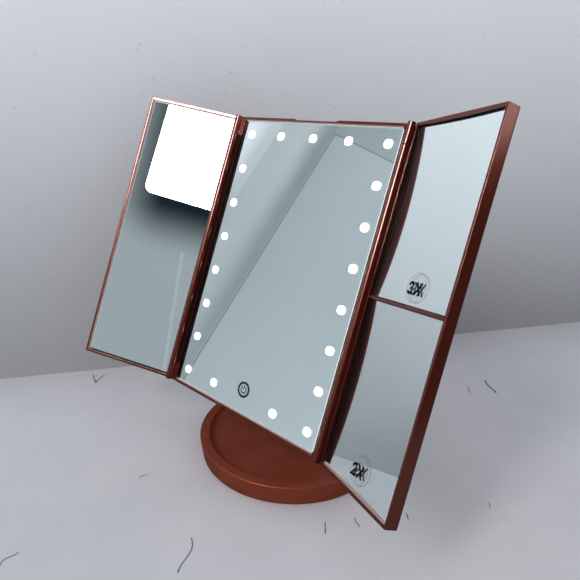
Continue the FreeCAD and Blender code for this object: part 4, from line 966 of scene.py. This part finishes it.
wall_strip("corner_line", line_start + WALL_OUT * 0.002, line_start + WALL_OUT * 0.006, 0.0, RAIL_Z,
           LINE_PAINT)
wall_strip("rail_line", line_start, line_end, RAIL_Z - LINE_HALF, RAIL_Z + LINE_HALF, LINE_PAINT)


# ---------------------------------------------------------------- light
def hide(obj, lights=False):
    """Leaves the object to mirrors and shine alone, or lets it light the scene as well."""
    obj.visible_camera = False
    obj.visible_diffuse = lights
    obj.visible_shadow = False


def upright(name, y, x0, x1, z0, z1, radius, material, lean=0.0):
    """Rounded upright rectangle that faces the mirror; lean moves its foot to the left."""
    mid_x, mid_z = (x0 + x1) / 2, (z0 + z1) / 2
    ring = rounded_rect((x1 - x0) / 2, (z1 - z0) / 2, radius, 10)
    half_z = (z1 - z0) / 2
    verts = [(mid_x + a + lean * (b / half_z - 1) / 2, y, mid_z + b) for a, b in ring]
    return stage_mesh(name, verts, [tuple(range(len(ring)))], material)


def emitter(name, colour, strength):
    n = Nodes(name)
    emit = n.add("ShaderNodeEmission")
    emit.inputs["Color"].default_value = (*colour, 1.0)
    emit.inputs["Strength"].default_value = strength
    n.link(emit.outputs[0], n.out.inputs["Surface"])
    return n.mat


def shade(name, colour, centre, half, fade, axes=("X", "Z"), squeeze=(1.0, 1.0)):
    """Dark cloth that thins out to nothing over the fade width round a rounded rectangle."""
    n = Nodes(name)
    place = n.add("ShaderNodeSeparateXYZ")
    n.link(n.coord, place.inputs[0])
    squares = []
    for axis, mid, size, pull in zip(axes, centre, half, squeeze):
        off = n.math("ABSOLUTE", n.math("SUBTRACT", place.outputs[axis], mid))
        over = n.math("MULTIPLY", n.math("MAXIMUM", n.math("SUBTRACT", off, size), 0.0), pull)
        squares.append(n.math("MULTIPLY", over, over))
    far = n.math("SQRT", n.math("ADD", squares[0], squares[1]))
    keep = n.add("ShaderNodeMapRange", interpolation_type="SMOOTHSTEP")
    keep.inputs["From Max"].default_value = fade
    keep.inputs["To Min"].default_value = 1.0
    keep.inputs["To Max"].default_value = 0.0
    n.link(far, keep.inputs["Value"])
    cloth = n.add("ShaderNodeEmission")
    cloth.inputs["Color"].default_value = (*colour, 1.0)
    clear = n.add("ShaderNodeBsdfTransparent")
    choose = n.add("ShaderNodeMixShader")
    n.link(keep.outputs["Result"], choose.inputs[0])
    n.link(clear.outputs[0], choose.inputs[1])
    n.link(cloth.outputs[0], choose.inputs[2])
    n.link(choose.outputs[0], n.out.inputs["Surface"])
    return n.mat


BOX_Y = -1.50
BOX_X = (-0.033, 0.32)
BOX_Z = (0.947, 1.95)
BOX_LEAN = 0.043
BOX_LIGHT = emitter("softbox", (1.0, 0.99, 0.98), 14.0)
box = upright("softbox", BOX_Y, *BOX_X, *BOX_Z, 0.03, BOX_LIGHT, BOX_LEAN)
hide(box, lights=True)

# Dark cloth round the softbox, which fades out.
SKIRT_SIDE = 0.3
SKIRT_FOOT = 0.35
skirt_mid = ((BOX_X[0] + BOX_X[1]) / 2 + 0.04, (BOX_Z[0] + BOX_Z[1]) / 2)
skirt_half = ((BOX_X[1] - BOX_X[0]) / 2, (BOX_Z[1] - BOX_Z[0]) / 2 + 0.01)
SKIRT_CLOTH = shade("softbox skirt", (0.012, 0.019, 0.028), skirt_mid, skirt_half, 0.26, squeeze=(1.1, 1.1))
skirt = upright("softbox_skirt", BOX_Y - 0.01, BOX_X[0] - SKIRT_SIDE, BOX_X[1] + SKIRT_SIDE,
                BOX_Z[0] - SKIRT_FOOT, BOX_Z[1] + SKIRT_SIDE, 0.1, SKIRT_CLOTH)
hide(skirt)

# Pale line that the left wing's mirror shows.
STREAK_LIGHT = emitter("pale streak", (0.46, 0.50, 0.53), 1.0)
streak = upright("pale_streak", BOX_Y + 0.01, 0.106, 0.117, 0.28, 0.74, 0.004, STREAK_LIGHT, -0.020)
hide(streak)


def side_screen(name, x, y0, y1, z0, z1, material):
    """Upright rectangle across the x axis, on the right of the mirror, hidden from the camera."""
    verts = [(x, y0, z0), (x, y1, z0), (x, y1, z1), (x, y0, z1)]
    obj = stage_mesh(name, verts, [(0, 1, 2, 3)], material)
    hide(obj)
    return obj


FLAG_CLOTH = shade("side flag", (0.012, 0.009, 0.009), (-0.45, 0.35), (0.65, 0.40), 0.35, ("Y", "Z"))
side_screen("side_flag", 0.62, -1.45, 0.8, 0.0, 1.25, FLAG_CLOTH)
card = side_screen("side_card", 0.60, 0.02, 0.50, 0.37, 0.85, emitter("side card", (1.0, 0.96, 0.92), 0.68))
card.visible_transmission = False

world = bpy.data.worlds.new("studio")
bpy.context.scene.world = world
world.use_nodes = True
tree = world.node_tree
tree.nodes.clear()
out = tree.nodes.new("ShaderNodeOutputWorld")
light_path = tree.nodes.new("ShaderNodeLightPath")
ambient = tree.nodes.new("ShaderNodeBackground")
ambient.inputs["Color"].default_value = (0.92, 0.95, 1.0, 1.0)
ambient.inputs["Strength"].default_value = 0.34
seen = tree.nodes.new("ShaderNodeBackground")
seen.inputs["Color"].default_value = (0.41, 0.445, 0.475, 1.0)
seen.inputs["Strength"].default_value = 1.0
room = tree.nodes.new("ShaderNodeBackground")
room.inputs["Color"].default_value = (0.048, 0.049, 0.051, 1.0)
last = ambient
for ray, sky in (("Is Glossy Ray", room), ("Is Transmission Ray", seen), ("Is Camera Ray", seen)):
    mix = tree.nodes.new("ShaderNodeMixShader")
    tree.links.new(light_path.outputs[ray], mix.inputs[0])
    tree.links.new(last.outputs[0], mix.inputs[1])
    tree.links.new(sky.outputs[0], mix.inputs[2])
    last = mix
tree.links.new(last.outputs[0], out.inputs["Surface"])

bpy.context.scene.view_settings.view_transform = "Standard"
